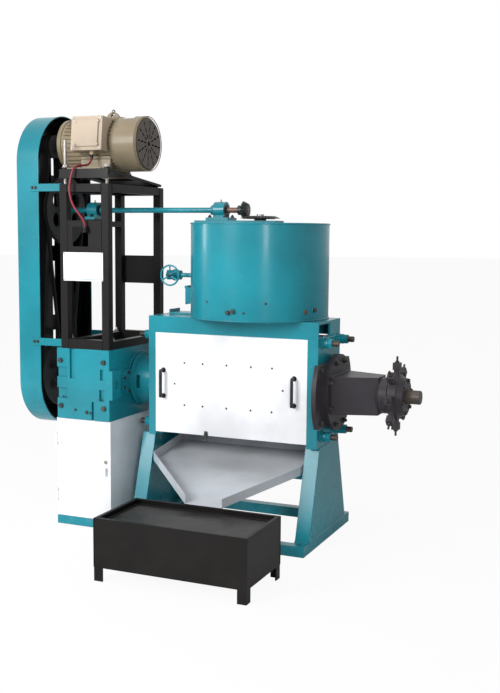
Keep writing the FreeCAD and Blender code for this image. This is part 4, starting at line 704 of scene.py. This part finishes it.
    def block(self, low: Point, high: Point, bevel: float = 0.0) -> None:
        """Add a block with chamfered long edges.

        Args:
            low: lowest corner.
            high: highest corner.
            bevel: chamfer of all its edges.
        """
        a, b = Vector(low), Vector(high)
        levels = [(a.z, 0), (b.z, 0)]
        if bevel:
            levels = [(a.z, bevel), (a.z + bevel, 0.0), (b.z - bevel, 0.0), (b.z, bevel)]
        rings = []
        for z, inset in levels:
            x0, x1, y0, y1 = a.x + inset, b.x - inset, a.y + inset, b.y - inset
            cut = bevel
            rings.append([Vector(p) for p in (
                (x0 + cut, y0, z), (x1 - cut, y0, z), (x1, y0 + cut, z), (x1, y1 - cut, z),
                (x1 - cut, y1, z), (x0 + cut, y1, z), (x0, y1 - cut, z), (x0, y0 + cut, z))])
        self.rings(rings)

    def finish(self, name: str, slot: str, body: Body, shop: Paintshop,
               angle: float = 35.0) -> bpy.types.Object:
        """Turn the parts into a piece of the machine.

        Args:
            name: the piece's name.
            slot: its material slot.
            body: the group it rides on.
            shop: where its finish comes from.
            angle: edges sharper than this stay crisp.

        Returns:
            The new object.
        """
        bmesh.ops.remove_doubles(self.mesh, verts=self.mesh.verts, dist=1e-6)
        bmesh.ops.recalc_face_normals(self.mesh, faces=self.mesh.faces)
        data = bpy.data.meshes.new(name)
        self.mesh.to_mesh(data)
        self.mesh.free()
        data.shade_smooth()
        data.set_sharp_from_angle(angle=math.radians(angle))
        data.materials.append(shop.get(slot))
        piece = bpy.data.objects.new(name, data)
        bpy.context.scene.collection.objects.link(piece)
        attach(piece, body.value)
        LOG.info("made %s on %s", name, body.value)
        return piece


def corners(node: str) -> tuple[Vector, Vector]:
    """Lowest and highest corner of a CAD node."""
    low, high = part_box(node)
    return Vector(low), Vector(high)


# ------------------------------------------------------------------ camera, light and floor
@dataclass(frozen=True)
class Studio:
    """Camera, lamps, world and floor around the machine."""

    eye: Point = (2.0535, -4.652, 1.5)
    azimuth: float = 23.27
    down: float = 6.40
    roll: float = 0.468
    lens: float = 52.92
    ambient: float = 0.34
    floor_radius: float = 60.0

    def camera(self) -> None:
        """Place the camera."""
        turn, tilt, roll = (math.radians(v) for v in (self.azimuth, self.down, self.roll))
        back = Vector((math.sin(turn) * math.cos(tilt), -math.cos(turn) * math.cos(tilt), math.sin(tilt)))
        side = (-back).cross(Z).normalized()
        up = side.cross(-back)
        across = side * math.cos(roll) + up * math.sin(roll)
        upright = up * math.cos(roll) - side * math.sin(roll)
        data = bpy.data.cameras.new("camera")
        data.lens, data.sensor_width, data.clip_end = self.lens, 36.0, 200.0
        camera = bpy.data.objects.new("camera", data)
        camera.matrix_world = (Matrix.Translation(self.eye)
                               @ Matrix((across, upright, back)).transposed().to_4x4())
        bpy.context.scene.collection.objects.link(camera)
        bpy.context.scene.camera = camera

    def lamp(self, name: str, place: Point, target: Point, size: tuple[float, float], energy: float) -> None:
        """Add one soft lamp.

        Args:
            name: its name.
            place: where it stands.
            target: what it faces.
            size: width and height of the light.
            energy: power in watts.
        """
        data = bpy.data.lights.new(name, "AREA")
        data.shape = "RECTANGLE"
        data.size, data.size_y, data.energy = *size, energy
        lamp = bpy.data.objects.new(name, data)
        away = Vector(place) - Vector(target)
        lamp.matrix_world = Matrix.Translation(place) @ away.to_track_quat("Z", "Y").to_matrix().to_4x4()
        bpy.context.scene.collection.objects.link(lamp)

    def world(self) -> None:
        """White for the camera and reflections, soft grey light for the rest."""
        graph = Graph("studio", world=True)
        bpy.context.scene.world = graph.material
        seen = graph.node("ShaderNodeLightPath", {}, {}, "Is Camera Ray")
        for output in ("Is Glossy Ray", "Is Transmission Ray"):
            path = graph.node("ShaderNodeLightPath", {}, {}, output)
            seen = graph.node("ShaderNodeMath", {"operation": "MAXIMUM"}, {0: seen, 1: path})
        level = graph.node("ShaderNodeMapRange", {}, {"Value": seen, "To Min": self.ambient})
        graph.put(graph.surface.inputs["Strength"], level)
        graph.put(graph.surface.inputs["Color"], (1, 1, 1))

    def floor(self) -> None:
        """Lay the pale floor."""
        mesh = bmesh.new()
        bmesh.ops.create_circle(mesh, cap_ends=True, radius=self.floor_radius, segments=96)
        data = bpy.data.meshes.new("floor")
        mesh.to_mesh(data)
        mesh.free()
        graph = Graph("pale_floor")
        graph.close(Base_Color=(0.86, 0.86, 0.86), Roughness=0.9)
        glow = graph.node("ShaderNodeEmission", {}, {})
        path = graph.node("ShaderNodeLightPath", {}, {}, "Is Camera Ray")
        lit = Sock(graph, graph.surface.outputs[0])
        mixed = graph.node("ShaderNodeMixShader", {}, {0: path * 0.93, 1: lit, 2: glow})
        graph.put(graph.tree.nodes["Material Output"].inputs["Surface"], mixed)
        data.materials.append(graph.material)
        floor = bpy.data.objects.new("floor", data)
        floor.location.z = -0.0005
        bpy.context.scene.collection.objects.link(floor)

    def build(self) -> None:
        """Set the whole studio up."""
        self.camera()
        self.world()
        self.floor()
        self.lamp("key", (-2.5, -5.4, 3.2), (-0.1, 0, 1.0), (2.4, 2.4), 300)
        self.lamp("streak", (3.2, -5.0, 2.2), (0.1, 0, 1.2), (0.8, 1.8), 70)
        self.lamp("side", (-5.4, -1.2, 2.4), (-0.3, 0, 1.3), (0.8, 2.2), 70)
        self.lamp("top", (-0.3, -0.6, 4.6), (-0.2, 0, 1.5), (2.2, 2.2), 30)
        bpy.context.scene.view_settings.view_transform = "Standard"


# ------------------------------------------------------------------ sub-assemblies
@dataclass
class MotorCable:
    """Red cable from the terminal box down to the gland on the stand."""

    shop: Paintshop
    radius: float = 0.005
    length: float = 0.5204
    route: Sequence[Point] = (
        (-0.737, -0.19404, 1.89092), (-0.737, -0.19788, 1.85312), (-0.739, -0.230, 1.826),
        (-0.744, -0.284, 1.823),
        (-0.752, -0.338, 1.814), (-0.763, -0.350, 1.761), (-0.771, -0.352, 1.712), (-0.766, -0.352, 1.661),
        (-0.745, -0.351, 1.616), (-0.715, -0.347, 1.578), (-0.688, -0.341, 1.541), (-0.688, -0.341, 1.500))

    def boot(self) -> bpy.types.Object:
        """Ribbed rubber boot where the cable leaves the terminal box."""
        start, down = Vector(self.route[0]), Vector(self.route[1]) - Vector(self.route[0])
        mesher = Mesher()
        profile = [(0.0088, 0.010)]
        for rib in range(5):
            base, radius = 0.0125 + rib * 0.0042, 0.0084 - rib * 0.0005
            profile += [(radius, base), (radius, base + 0.0022), (radius - 0.0011, base + 0.0026),
                        (radius - 0.0011, base + 0.0038)]
        mesher.turned(start, down, profile + [(0.0056, 0.036)], 24)
        return mesher.finish("lead_boot", "handle_plastic", Body.PRESS, self.shop)

    def nut(self) -> bpy.types.Object:
        """Gland nut where the cable enters the stand's gland."""
        mesher = Mesher()
        x, y, _ = self.route[-1]
        mesher.turned((x, y, 1.5121), Z,
                      [(0.0105, 0), (0.0112, 0.0008), (0.0112, 0.0062), (0.0098, 0.0074)], 6)
        mesher.turned((x, y, 1.5195), Z,
                      [(0.0084, 0), (0.0084, 0.002), (0.0072, 0.0042), (0.0056, 0.0048)], 24)
        return mesher.finish("lead_gland_nut", "handle_plastic", Body.PRESS, self.shop)

    def build(self) -> None:
        """Make the cable and what holds it."""
        curve = bpy.data.curves.new("motor_lead", "CURVE")
        curve.dimensions = "3D"
        curve.bevel_depth, curve.bevel_resolution, curve.resolution_u = self.radius, 6, 10
        curve.use_fill_caps = True
        spline = curve.splines.new("NURBS")
        spline.points.add(len(self.route) - 1)
        for point, place in zip(spline.points, self.route):
            point.co = (*place, 1.0)
        spline.order_u = 3
        spline.use_endpoint_u = True
        curve.materials.append(self.shop.get("cable_jacket"))
        lead = bpy.data.objects.new("motor_lead", curve)
        bpy.context.scene.collection.objects.link(lead)
        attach(lead, Body.PRESS.value)
        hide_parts("motor_cable")
        self.boot()
        self.nut()
        LOG.info("made the motor cable")


@dataclass
class CoverTrim:
    """Rivets, handle feet and latch of the front cover."""

    shop: Paintshop
    columns: Sequence[float] = (-0.2225, -0.1225, 0.0065, 0.1355, 0.2455)
    rows: Sequence[float] = (0.854, 0.642)
    extra: Sequence[tuple[float, float]] = ((-0.2775, 0.746), (0.3015, 0.750))
    latch: tuple[float, float] = (-0.1025, 0.486)

    def build(self) -> None:
        """Make the cover's small parts."""
        low, _ = corners("front_cover")
        rivets = Mesher()
        for x, z in [(x, z) for x in self.columns for z in self.rows] + list(self.extra):
            rivets.rivet((x, low.y, z), -Y, 0.0052)
        rivets.finish("cover_rivets", "dark_steel", Body.COVER, self.shop)
        first, last = corners("cover_handles")
        feet = Mesher()
        for x in (first.x + 0.006, last.x - 0.006):
            for z in (first.z + 0.006, last.z - 0.006):
                feet.turned((x, low.y, z), -Y, [(0.0125, 0), (0.0125, 0.0025), (0.0105, 0.0045)], 24)
        feet.finish("handle_feet", "handle_plastic", Body.COVER, self.shop)
        x, z = self.latch
        latch = Mesher()
        latch.block((x - 0.009, low.y - 0.004, z - 0.006), (x + 0.009, low.y, z + 0.034), 0.0012)
        latch.turned((x, low.y - 0.004, z + 0.022), -Y, [(0.0095, 0), (0.0095, 0.004), (0.006, 0.007)], 6)
        latch.tube([(x + 0.002, low.y - 0.006, z - 0.002), (x + 0.006, low.y - 0.01, z - 0.012),
                    (x - 0.004, low.y - 0.011, z - 0.018)], 0.003)
        latch.finish("cover_latch", "dark_steel", Body.COVER, self.shop)


@dataclass
class FrameTrim:
    """Threads and washers of the tie rods, and the frame's welds."""

    shop: Paintshop
    side: float = 0.115
    levels: Sequence[float] = (0.533, 0.982)
    washer: float = 0.031
    pitch: float = 0.003

    def build(self) -> None:
        """Make the frame's small parts."""
        nuts_low, nuts_high = corners("tie_rod_nuts")
        rods_low, rods_high = corners("tie_rods")
        left, _ = corners("left_end_plate")
        _, right = corners("right_end_plate")
        threads, washers = Mesher(), Mesher()
        for y in (-self.side, self.side):
            for z in self.levels:
                for nut, tip, way in ((nuts_low.x, rods_low.x, -X), (nuts_high.x, rods_high.x, X)):
                    reach = abs(tip - nut) - self.pitch - 0.0025
                    threads.thread((nut, y, z), way, 0.0147, self.pitch, reach, 0.0018)
                for face, way in ((left.x, -X), (right.x, X)):
                    washers.turned((face, y, z), way, [(self.washer, 0), (self.washer, 0.004),
                                                       (self.washer - 0.002, 0.005)], 32)
        threads.finish("tie_rod_threads", "dark_steel", Body.PRESS, self.shop)
        washers.finish("tie_rod_washers", "teal_paint", Body.PRESS, self.shop)
        self.welds()

    def welds(self) -> None:
        """Lay the weld beads of the legs, posts and beam."""
        beads = Mesher()
        for node in ("left_leg", "right_leg"):
            low, high = corners(node)
            for x in (low.x, high.x):
                beads.weld((x, low.y + 0.004, low.z), (x, high.y - 0.004, low.z), 0.0042)
            for y in (low.y, high.y):
                beads.weld((low.x + 0.003, y, low.z), (high.x - 0.003, y, low.z), 0.0042)
        beam_low, beam_high = corners("top_beam")
        for node, outer in (("left_end_plate", beam_low.x), ("right_end_plate", beam_high.x)):
            low, high = corners(node)
            beads.weld((outer, low.y + 0.05, high.z), (outer, high.y - 0.004, high.z), 0.0035)
            beads.weld((outer, -0.136, low.z), (outer, 0.136, low.z), 0.0035)
        beads.finish("frame_welds", "teal_paint", Body.PRESS, self.shop, 60)


@dataclass
class KettleTrim:
    """Rim and foot beads, seam, plugs and small bolts of the kettle."""

    shop: Paintshop
    plugs: Sequence[tuple[float, float]] = ((0.0975, 1.129), (0.412, 1.132))
    bolts: Sequence[tuple[float, float]] = ((-0.037, 1.171), (0.117, 1.141), (0.260, 1.172), (0.163, 1.126))
    wall: float = 0.341

    def on_wall(self, x: float, z: float, middle: Vector) -> tuple[Vector, Vector]:
        """Place and outward direction on the front of the wall.

        Args:
            x: across the front.
            z: height.
            middle: the kettle's axis.

        Returns:
            The point and the outward direction.
        """
        across = x - middle.x
        out = Vector((across, -math.sqrt(self.wall ** 2 - across ** 2), 0)) / self.wall
        return Vector((middle.x, middle.y, z)) + out * self.wall, out

    def build(self) -> None:
        """Make the kettle's small parts."""
        low, high = corners("kettle")
        middle = Vector((high.x - self.wall, 0, 0))
        beads = Mesher()
        beads.ring_bar((middle.x, 0, high.z - 0.0045), Z, self.wall, 0.0042)
        beads.ring_bar((middle.x, 0, low.z + 0.005), Z, self.wall, 0.003, ripple=0.12, steps=420)
        beads.weld((middle.x, self.wall, low.z + 0.01), (middle.x, self.wall, high.z - 0.01), 0.0032)
        beads.finish("kettle_beads", "teal_paint", Body.PRESS, self.shop, 60)
        dark, bosses = Mesher(), Mesher()
        for x, z in self.plugs:
            for shift in (-0.011, 0.014):
                place, out = self.on_wall(x + shift, z + shift * 0.25, middle)
                bosses.turned(place - out * 0.003, out, [(0.0155, 0), (0.0155, 0.005), (0.014, 0.0065)], 28)
                dark.turned(place + out * 0.0035, out,
                            [(0.0105, 0), (0.0112, 0.001), (0.0112, 0.0085), (0.009, 0.0105)], 6)
        for x, z in self.bolts:
            place, out = self.on_wall(x, z, middle)
            dark.rivet(place - out * 0.0005, out, 0.0058)
        bosses.finish("kettle_bosses", "teal_paint", Body.PRESS, self.shop)
        dark.finish("kettle_plugs", "dark_steel", Body.PRESS, self.shop)


@dataclass
class ShaftTrim:
    """Bolts, grease nipples and seals of the line shaft's bearings, and the shaft's collars."""

    shop: Paintshop
    centres: Sequence[tuple[float, float, float]] = ((-0.8415, 1.574, 0.0), (-0.1095, 1.571, 0.042))
    axis_z: float = 1.608
    head: float = 0.041
    half: float = 0.030

    def build(self) -> None:
        """Make the bearings' small parts."""
        bolts, nipples, seals = Mesher(), Mesher(), Mesher()
        for x, seat, spread in self.centres:
            for y in (-0.0435, 0.0435):
                for dx in ((-spread, spread) if spread else (0.0,)):
                    bolts.bolt((x + dx, y, seat), Z, 0.010, 0.006)
            top = self.axis_z + self.head
            nipples.turned((x, 0, top - 0.001), Z, [(0.005, 0), (0.0055, 0.001), (0.0055, 0.004),
                                                    (0.0028, 0.005),
                                                    (0.0028, 0.008), (0.0042, 0.0095), (0.0038, 0.012),
                                                    (0.0015, 0.0135)], 12)
            for way, face in ((-X, x - self.half), (X, x + self.half)):
                seals.turned((face, 0, self.axis_z), way, [(0.029, 0), (0.029, 0.0012), (0.0235, 0.003),
                                                           (0.0215, 0.0026), (0.0138, 0.0026)], 36)
        bolts.finish("bearing_bolts", "dark_steel", Body.PRESS, self.shop)
        nipples.finish("grease_nipples", "bare_steel", Body.PRESS, self.shop)
        seals.finish("bearing_seals", "black_casting", Body.PRESS, self.shop)
        collars = Mesher()
        for x in (-0.8025, -0.1625):
            collars.turned((x, 0, self.axis_z), X,
                           [(0.0215, 0), (0.023, 0.001), (0.023, 0.0125), (0.0215, 0.0135)], 32)
            collars.turned((x + 0.0068, 0, self.axis_z + 0.022), Z,
                           [(0.0035, 0), (0.0035, 0.003), (0.002, 0.0034)], 6)
        collars.finish("shaft_collars", "teal_paint", Body.LINE, self.shop)


@dataclass
class GearboxTrim:
    """Plugs, cap screws and housing welds of the gearbox."""

    shop: Paintshop
    plugs: Sequence[tuple[float, float, float]] = (
        (-0.766, 0.600, 0.0065), (-0.699, 0.592, 0.009), (-0.677, 0.590, 0.006),
        (-0.835, 0.664, 0.005), (-0.62, 0.664, 0.005))
    cap: tuple[float, float, float] = (-0.150, 0.735, 0.048)
    screws: int = 6

    def build(self) -> None:
        """Make the gearbox's small parts."""
        low, _ = corners("gearbox_lower_case")
        _, caps = corners("bearing_caps")
        plugs = Mesher()
        for x, z, size in self.plugs:
            plugs.turned((x, low.y, z), -Y,
                         [(size, 0), (size * 1.05, 0.001), (size * 1.05, 0.005), (size * 0.8, 0.0065)], 6)
        y, z, reach = self.cap
        for i in range(self.screws):
            angle = 2 * math.pi * (i + 0.5) / self.screws
            plugs.turned((caps.x, y + reach * math.cos(angle), z + reach * math.sin(angle)), X,
                         [(0.0075, 0), (0.008, 0.0008), (0.008, 0.006), (0.0068, 0.0072)], 6)
        plugs.finish("gearbox_plugs", "dark_steel", Body.PRESS, self.shop)
        low, high = corners("thrust_housing")
        ring = Mesher()
        ring.ring_bar((high.x, 0, z), X, 0.137, 0.0035, ripple=0.12, steps=300)
        ring.ring_bar((low.x, 0, z), X, 0.141, 0.0035, ripple=0.12, steps=300)
        ring.finish("housing_welds", "teal_paint", Body.PRESS, self.shop, 60)


@dataclass
class StandTrim:
    """Name plate, welds, screw threads and clamping bolts of the motor stand."""

    shop: Paintshop
    plate_low: Point = (-0.8265, -0.3285, 1.252)
    plate_high: Point = (-0.5965, -0.3253, 1.394)
    screws: Sequence[tuple[float, float, float]] = ((-0.8255, -0.301, 0.216), (-0.5865, -0.301, 0.094))
    post: float = 0.040

    def name_plate(self) -> None:
        """Plain white plate with a fine border and four rivets."""
        low, high = Vector(self.plate_low), Vector(self.plate_high)
        plate = Mesher()
        plate.block(low, high, 0.0011)
        plate.finish("name_plate", "white_sheet", Body.PRESS, self.shop)
        border = Mesher()
        inset, face = 0.009, low.y
        edge = [(low.x + inset, face, low.z + inset), (high.x - inset, face, low.z + inset),
                (high.x - inset, face, high.z - inset), (low.x + inset, face, high.z - inset)]
        for start, end in zip(edge, edge[1:] + edge[:1]):
            border.tube([start, end], 0.0009, 6)
        border.finish("plate_border", "teal_paint", Body.PRESS, self.shop)
        rivets = Mesher()
        for x in (low.x + 0.005, high.x - 0.005):
            for z in (low.z + 0.005, high.z - 0.005):
                rivets.rivet((x, face, z), -Y, 0.0032)
        rivets.finish("plate_rivets", "bare_steel", Body.PRESS, self.shop)

    def welds(self) -> None:
        """Beads where rails and plates meet the posts."""
        low, high = Vector((-0.8455, -0.325, 0.911)), Vector((-0.5665, 0.245, 1.731))
        beads = Mesher()
        inner = (low.x + self.post, high.x - self.post)
        for z0, z1 in ((low.z, low.z + 0.048), (high.z - self.post, high.z), (1.389, 1.551)):
            for x in inner:
                beads.weld((x, low.y, z0), (x, low.y, z1), 0.0026)
        for z0, z1 in ((low.z, low.z + self.post), (high.z - self.post, high.z)):
            for x in (low.x, high.x):
                for y in (low.y + self.post, high.y - self.post):
                    beads.weld((x, y, z0), (x, y, z1), 0.0026)
            for x in inner:
                beads.weld((x, high.y, z0), (x, high.y, z1), 0.0026)
        beads.finish("stand_welds", "black_paint", Body.PRESS, self.shop, 60)

    def build(self) -> None:
        """Make the stand's small parts."""
        self.name_plate()
        self.welds()
        threads = Mesher()
        for x, y, length in self.screws:
            threads.thread((x, y, 1.7315), Z, 0.00845, 0.0025, length - 0.0055, 0.0014, 16)
        threads.finish("screw_threads", "bare_steel", Body.PRESS, self.shop)
        bolts = Mesher()
        for x in (-0.8255, -0.5865):
            for y in (-0.262, 0.182):
                bolts.bolt((x, y, 0.951), Z, 0.014, 0.012)
        bolts.finish("stand_bolts", "bare_steel", Body.PRESS, self.shop)


@dataclass
class MotorTrim:
    """Lid screws, foot bolts, eye ring, label and clamping nuts of the motor on its tilted base."""

    shop: Paintshop
    tilt: float = 5.8
    pin: tuple[float, float] = (0.233, 1.741)
    axis: tuple[float, float] = (-0.059, 1.912)
    screw_reach: float = 0.534
    nut_z: float = 1.757

    def level(self) -> Mesher:
        """A mesh builder that takes places on the level motor."""
        y, z = self.pin
        turn = Matrix.Rotation(math.radians(-self.tilt), 4, "X")
        return Mesher(Matrix.Translation((0, y, z)) @ turn @ Matrix.Translation((0, -y, -z)))

    def build(self) -> None:
        """Make the motor's small parts."""
        screws = self.level()
        for x in (-0.829, -0.668):
            for z in (1.862, 2.014):
                screws.turned((x, -0.249, z), -Y, [(0.0052, 0), (0.0052, 0.0022), (0.0036, 0.0036)], 16)
        for x in (-0.808, -0.676):
            for z in (1.881, 1.995):
                screws.turned((x, -0.257, z), -Y, [(0.0042, 0), (0.0042, 0.0018), (0.0028, 0.003)], 16)
        screws.finish("lid_screws", "bare_steel", Body.MOTOR, self.shop)
        bolts = self.level()
        for x in (-0.815, -0.668):
            for y in (-0.181, 0.063):
                bolts.bolt((x, y, 1.765), Z, 0.012, 0.008)
        bolts.finish("foot_bolts", "dark_steel", Body.MOTOR, self.shop)
        ring = self.level()
        ring.ring_bar((-0.7115, self.axis[0], 2.0755), X, 0.0155, 0.0032, steps=48)
        ring.finish("eye_ring", "bare_steel", Body.MOTOR, self.shop, 60)
        self.label()
        # pale strip along the black base plate's front edge: partly a clamp strip, partly a painted highlight
        # of the lit edge
        bar = self.level()
        bar.block((-0.8035, -0.3262, 1.747), (-0.6085, -0.3085, 1.7535), 0.0012)
        bar.finish("base_strip_highlight", "motor_paint", Body.MOTOR, self.shop)
        nuts = self.level()
        y = self.pin[0] - self.screw_reach / math.cos(math.radians(self.tilt))
        for x in (-0.8255, -0.5865):
            nuts.turned((x, y, self.nut_z), Z, [(0.0165, 0), (0.0165, 0.0025)], 32)
            nuts.turned((x, y, self.nut_z + 0.0025), Z,
                        [(0.0132, 0), (0.0142, 0.0012), (0.0142, 0.0112), (0.0126, 0.0125)], 6)
        nuts.finish("screw_nuts", "bare_steel", Body.MOTOR, self.shop)
        self.cowl()

    def label(self) -> None:
        """Plain pale label on the shoulder of the cowl."""
        label = self.level()
        rings = []
        for i in range(13):
            angle = math.radians(58 + 24 * i / 12)
            out = Vector((0, -math.cos(angle), math.sin(angle)))
            middle = Vector((0, *self.axis))
            rings.append([Vector((x, 0, 0)) + middle + out * r for x, r in
                          ((-0.606, 0.1379), (-0.548, 0.1379), (-0.548, 0.1387), (-0.606, 0.1387))])
        label.rings(rings)
        label.finish("motor_label", "white_sheet", Body.MOTOR, self.shop)

    def cowl(self) -> None:
        """Screws and rolled rear edge of the fan cowl."""
        parts = self.level()
        parts.ring_bar((-0.4985, *self.axis), X, 0.1362, 0.0022, steps=96)
        for angle in (30, 150, 270):
            out = Vector((0, -math.cos(math.radians(angle)), math.sin(math.radians(angle))))
            place = Vector((-0.622, *self.axis)) + out * 0.1378
            parts.turned(place, out, [(0.0052, 0), (0.0052, 0.002), (0.0035, 0.0034)], 16)
        parts.finish("cowl_trim", "motor_paint", Body.MOTOR, self.shop, 60)


@dataclass
class GuardTrim:
    """Rolled edge and bracket bolts of the belt guard."""

    shop: Paintshop
    middle: float = -0.035
    radius: float = 0.245
    low: float = 0.720
    high: float = 1.848
    bracket_levels: Sequence[float] = (0.932, 1.716)

    def build(self) -> None:
        """Make the guard's small parts."""
        x = -1.0035
        edge = []
        for start, middle_z in ((0.0, self.high), (math.pi, self.low)):
            for i in range(33):
                angle = start + math.pi * i / 32
                edge.append((x, self.middle + self.radius * math.cos(angle),
                             middle_z + self.radius * math.sin(angle)))
        hem = Mesher()
        hem.tube(edge + edge[:1], 0.0026, 10)
        hem.finish("guard_hem", "teal_paint", Body.PRESS, self.shop, 60)
        bolts = Mesher()
        front, rear = self.middle - self.radius - 0.006, self.middle + self.radius + 0.006
        for z in self.bracket_levels:
            for bolt_x in (-1.036, -1.016):
                bolts.bolt((bolt_x, front, z), -Y, 0.008)
                bolts.bolt((bolt_x, rear, z), Y, 0.008)
        bolts.finish("bracket_bolts", "dark_steel", Body.PRESS, self.shop)


@dataclass
class DischargeTrim:
    """Flange bolts, welds and stud nuts of the discharge end."""

    shop: Paintshop
    worm_z: float = 0.735
    hub_face: float = 0.5275
    bolt_circle: float = 0.160
    spider_x: float = 0.8095
    arms: int = 8

    def build(self) -> None:
        """Make the discharge end's small parts."""
        bolts = Mesher()
        for i in range(8):
            angle = math.radians(22.5 + 45 * i)
            place = (self.hub_face, self.bolt_circle * math.cos(angle),
                     self.worm_z + self.bolt_circle * math.sin(angle))
            bolts.bolt(place, X, 0.014, 0.008)
        bolts.finish("hub_bolts", "dark_steel", Body.PRESS, self.shop)
        beads = Mesher()
        x, wide, tall = self.hub_face, 0.130, 0.090
        ring = [(x, -wide, self.worm_z - tall), (x, wide, self.worm_z - tall), (x, wide, self.worm_z + tall),
                (x, -wide, self.worm_z + tall)]
        for start, end in zip(ring, ring[1:] + ring[:1]):
            beads.weld(start, end, 0.0038)
        beads.ring_bar((0.7378, 0, self.worm_z), X, 0.0865, 0.0032, ripple=0.12, steps=220)
        beads.finish("housing_beads", "black_casting", Body.PRESS, self.shop, 60)
        cover, nuts = Mesher(), Mesher()
        for i in range(6):
            angle = 2 * math.pi * i / 6 + 0.26
            cover.bolt((0.8595, 0.078 * math.cos(angle), self.worm_z + 0.078 * math.sin(angle)), X, 0.010)
        for i in range(self.arms):
            angle = 2 * math.pi * i / self.arms
            out = Vector((0, math.cos(angle), math.sin(angle)))
            root = Vector((self.spider_x, 0, self.worm_z))
            nuts.turned(root + out * 0.160, out,
                        [(0.0088, 0), (0.0098, 0.001), (0.0098, 0.0075), (0.0085, 0.009)], 6)
        cover.finish("cover_screws", "dark_steel", Body.SPIDER, self.shop)
        nuts.finish("stud_nuts", "dark_steel", Body.SPIDER, self.shop)


@dataclass
class TrayTrim:
    """Rolled rim of the oil tray."""

    shop: Paintshop
    lip_y: float = -0.655
    lip_z: float = 0.284
    slope: float = 0.14
    wall: float = 0.042
    plan: Sequence[tuple[float, float]] = (
        (0.0225, -0.654), (-0.391, -0.190), (-0.391, 0.134), (0.399, 0.134),
        (0.399, -0.190), (0.2065, -0.654))

    def build(self) -> None:
        """Make the tray's rim."""
        rim = Mesher()
        points = [Vector((x, y, self.lip_z + self.slope * (y - self.lip_y) + self.wall - 0.001))
                  for x, y in self.plan]
        for start, end in zip(points, points[1:]):
            rim.tube([start, end], 0.0024, 8)
        lip = [Vector((x, self.lip_y, self.lip_z + 0.0015)) for x in (0.0255, 0.2035)]
        rim.tube(lip, 0.0022, 8)
        rim.finish("tray_rim", "grey_sheet", Body.PRESS, self.shop, 60)


@dataclass
class OilBoxTrim:
    """Strainer sheet in its frame, and the welds of the oil box."""

    shop: Paintshop
    drop: float = 0.026
    gap: float = 0.010
    wall: float = 0.004
    bar: float = 0.012

    def build(self) -> None:
        """Make the strainer and the box's welds."""
        low, high = corners("catch_box")
        x0, x1 = low.x + self.wall + self.gap, high.x - self.wall - self.gap
        y0, y1 = low.y + self.wall + self.gap, high.y - self.wall - self.gap
        top = high.z - self.drop
        sheet = Mesher()
        sheet.block((x0, y0, top - 0.0015), (x1, y1, top), 0.0)
        piece = sheet.finish("strainer_sheet", "black_paint", Body.OIL_BOX, self.shop)
        piece.data.materials.clear()
        piece.data.materials.append(Strainer("strainer_mesh").build())
        frame_bar = Mesher()
        bar = self.bar
        spans = (((x0, y0), (x1, y0 + bar)), ((x0, y1 - bar), (x1, y1)),
                 ((x0, y0 + bar), (x0 + bar, y1 - bar)), ((x1 - bar, y0 + bar), (x1, y1 - bar)))
        for start, end in spans:
            frame_bar.block((*start, top), (*end, top + 0.006), 0.0012)
        front, rear = low.y + self.wall, high.y - self.wall
        for x in (x0 + bar / 2, x1 - bar / 2):
            for near, far in ((front, front + bar), (rear - bar, rear)):
                frame_bar.block((x - bar / 2, near, top - 0.006), (x + bar / 2, far, top - 0.0015), 0.001)
        frame_bar.finish("strainer_frame", "black_paint", Body.OIL_BOX, self.shop)
        beads = Mesher()
        for x in (low.x, high.x):
            for y in (low.y, high.y):
                beads.weld((x, y, low.z + 0.062), (x, y, high.z - 0.002), 0.0022)
        beads.finish("box_welds", "black_paint", Body.OIL_BOX, self.shop, 60)


@dataclass
class SmallFittings:
    """Handwheel nut, cabinet lock and hinge caps."""

    shop: Paintshop

    def build(self) -> None:
        """Make the fittings."""
        low, _ = corners("valve_handwheel")
        nut = Mesher()
        nut.turned((-0.364, low.y, 1.280), -Y, [(0.0095, 0), (0.0095, 0.001), (0.0072, 0.0015),
                                                (0.0072, 0.0065),
                                                (0.006, 0.0075)], 6)
        nut.finish("handwheel_nut", "dark_steel", Body.HANDWHEEL, self.shop)
        door_low, door_high = corners("pedestal_door")
        lock = Mesher()
        lock.turned((door_high.x - 0.028, -0.325, 0.345), -Y, [(0.010, 0), (0.010, 0.002), (0.0085, 0.0032),
                                                                 (0.004, 0.0034), (0.004, 0.0022)], 28)
        lock.finish("door_lock", "bare_steel", Body.DOOR, self.shop)
        caps = Mesher()
        for z in (0.1735, 0.4625):
            caps.turned((door_low.x + 0.007, door_low.y + 0.007, z), Z,
                        [(0.005, 0), (0.0068, 0.0006), (0.0058, 0.0028),
                                                                        (0.002, 0.0036)], 16)
        caps.finish("hinge_caps", "white_sheet", Body.PRESS, self.shop)


DETAILS: Sequence[type] = (CoverTrim, FrameTrim, KettleTrim, ShaftTrim, GearboxTrim, StandTrim, MotorTrim,
                           GuardTrim, DischargeTrim, TrayTrim, OilBoxTrim, SmallFittings)


def main() -> None:
    """Build the studio, dress the machine and add its details."""
    logging.basicConfig(level=logging.INFO, format="%(name)s: %(message)s")
    shop = Paintshop()
    Studio().build()
    MotorCable(shop).build()
    shop.dress_solids()
    for detail in DETAILS:
        detail(shop).build()
    LOG.info("%d sub-assemblies dressed", len(DETAILS))


if __name__ == "__main__":
    main()
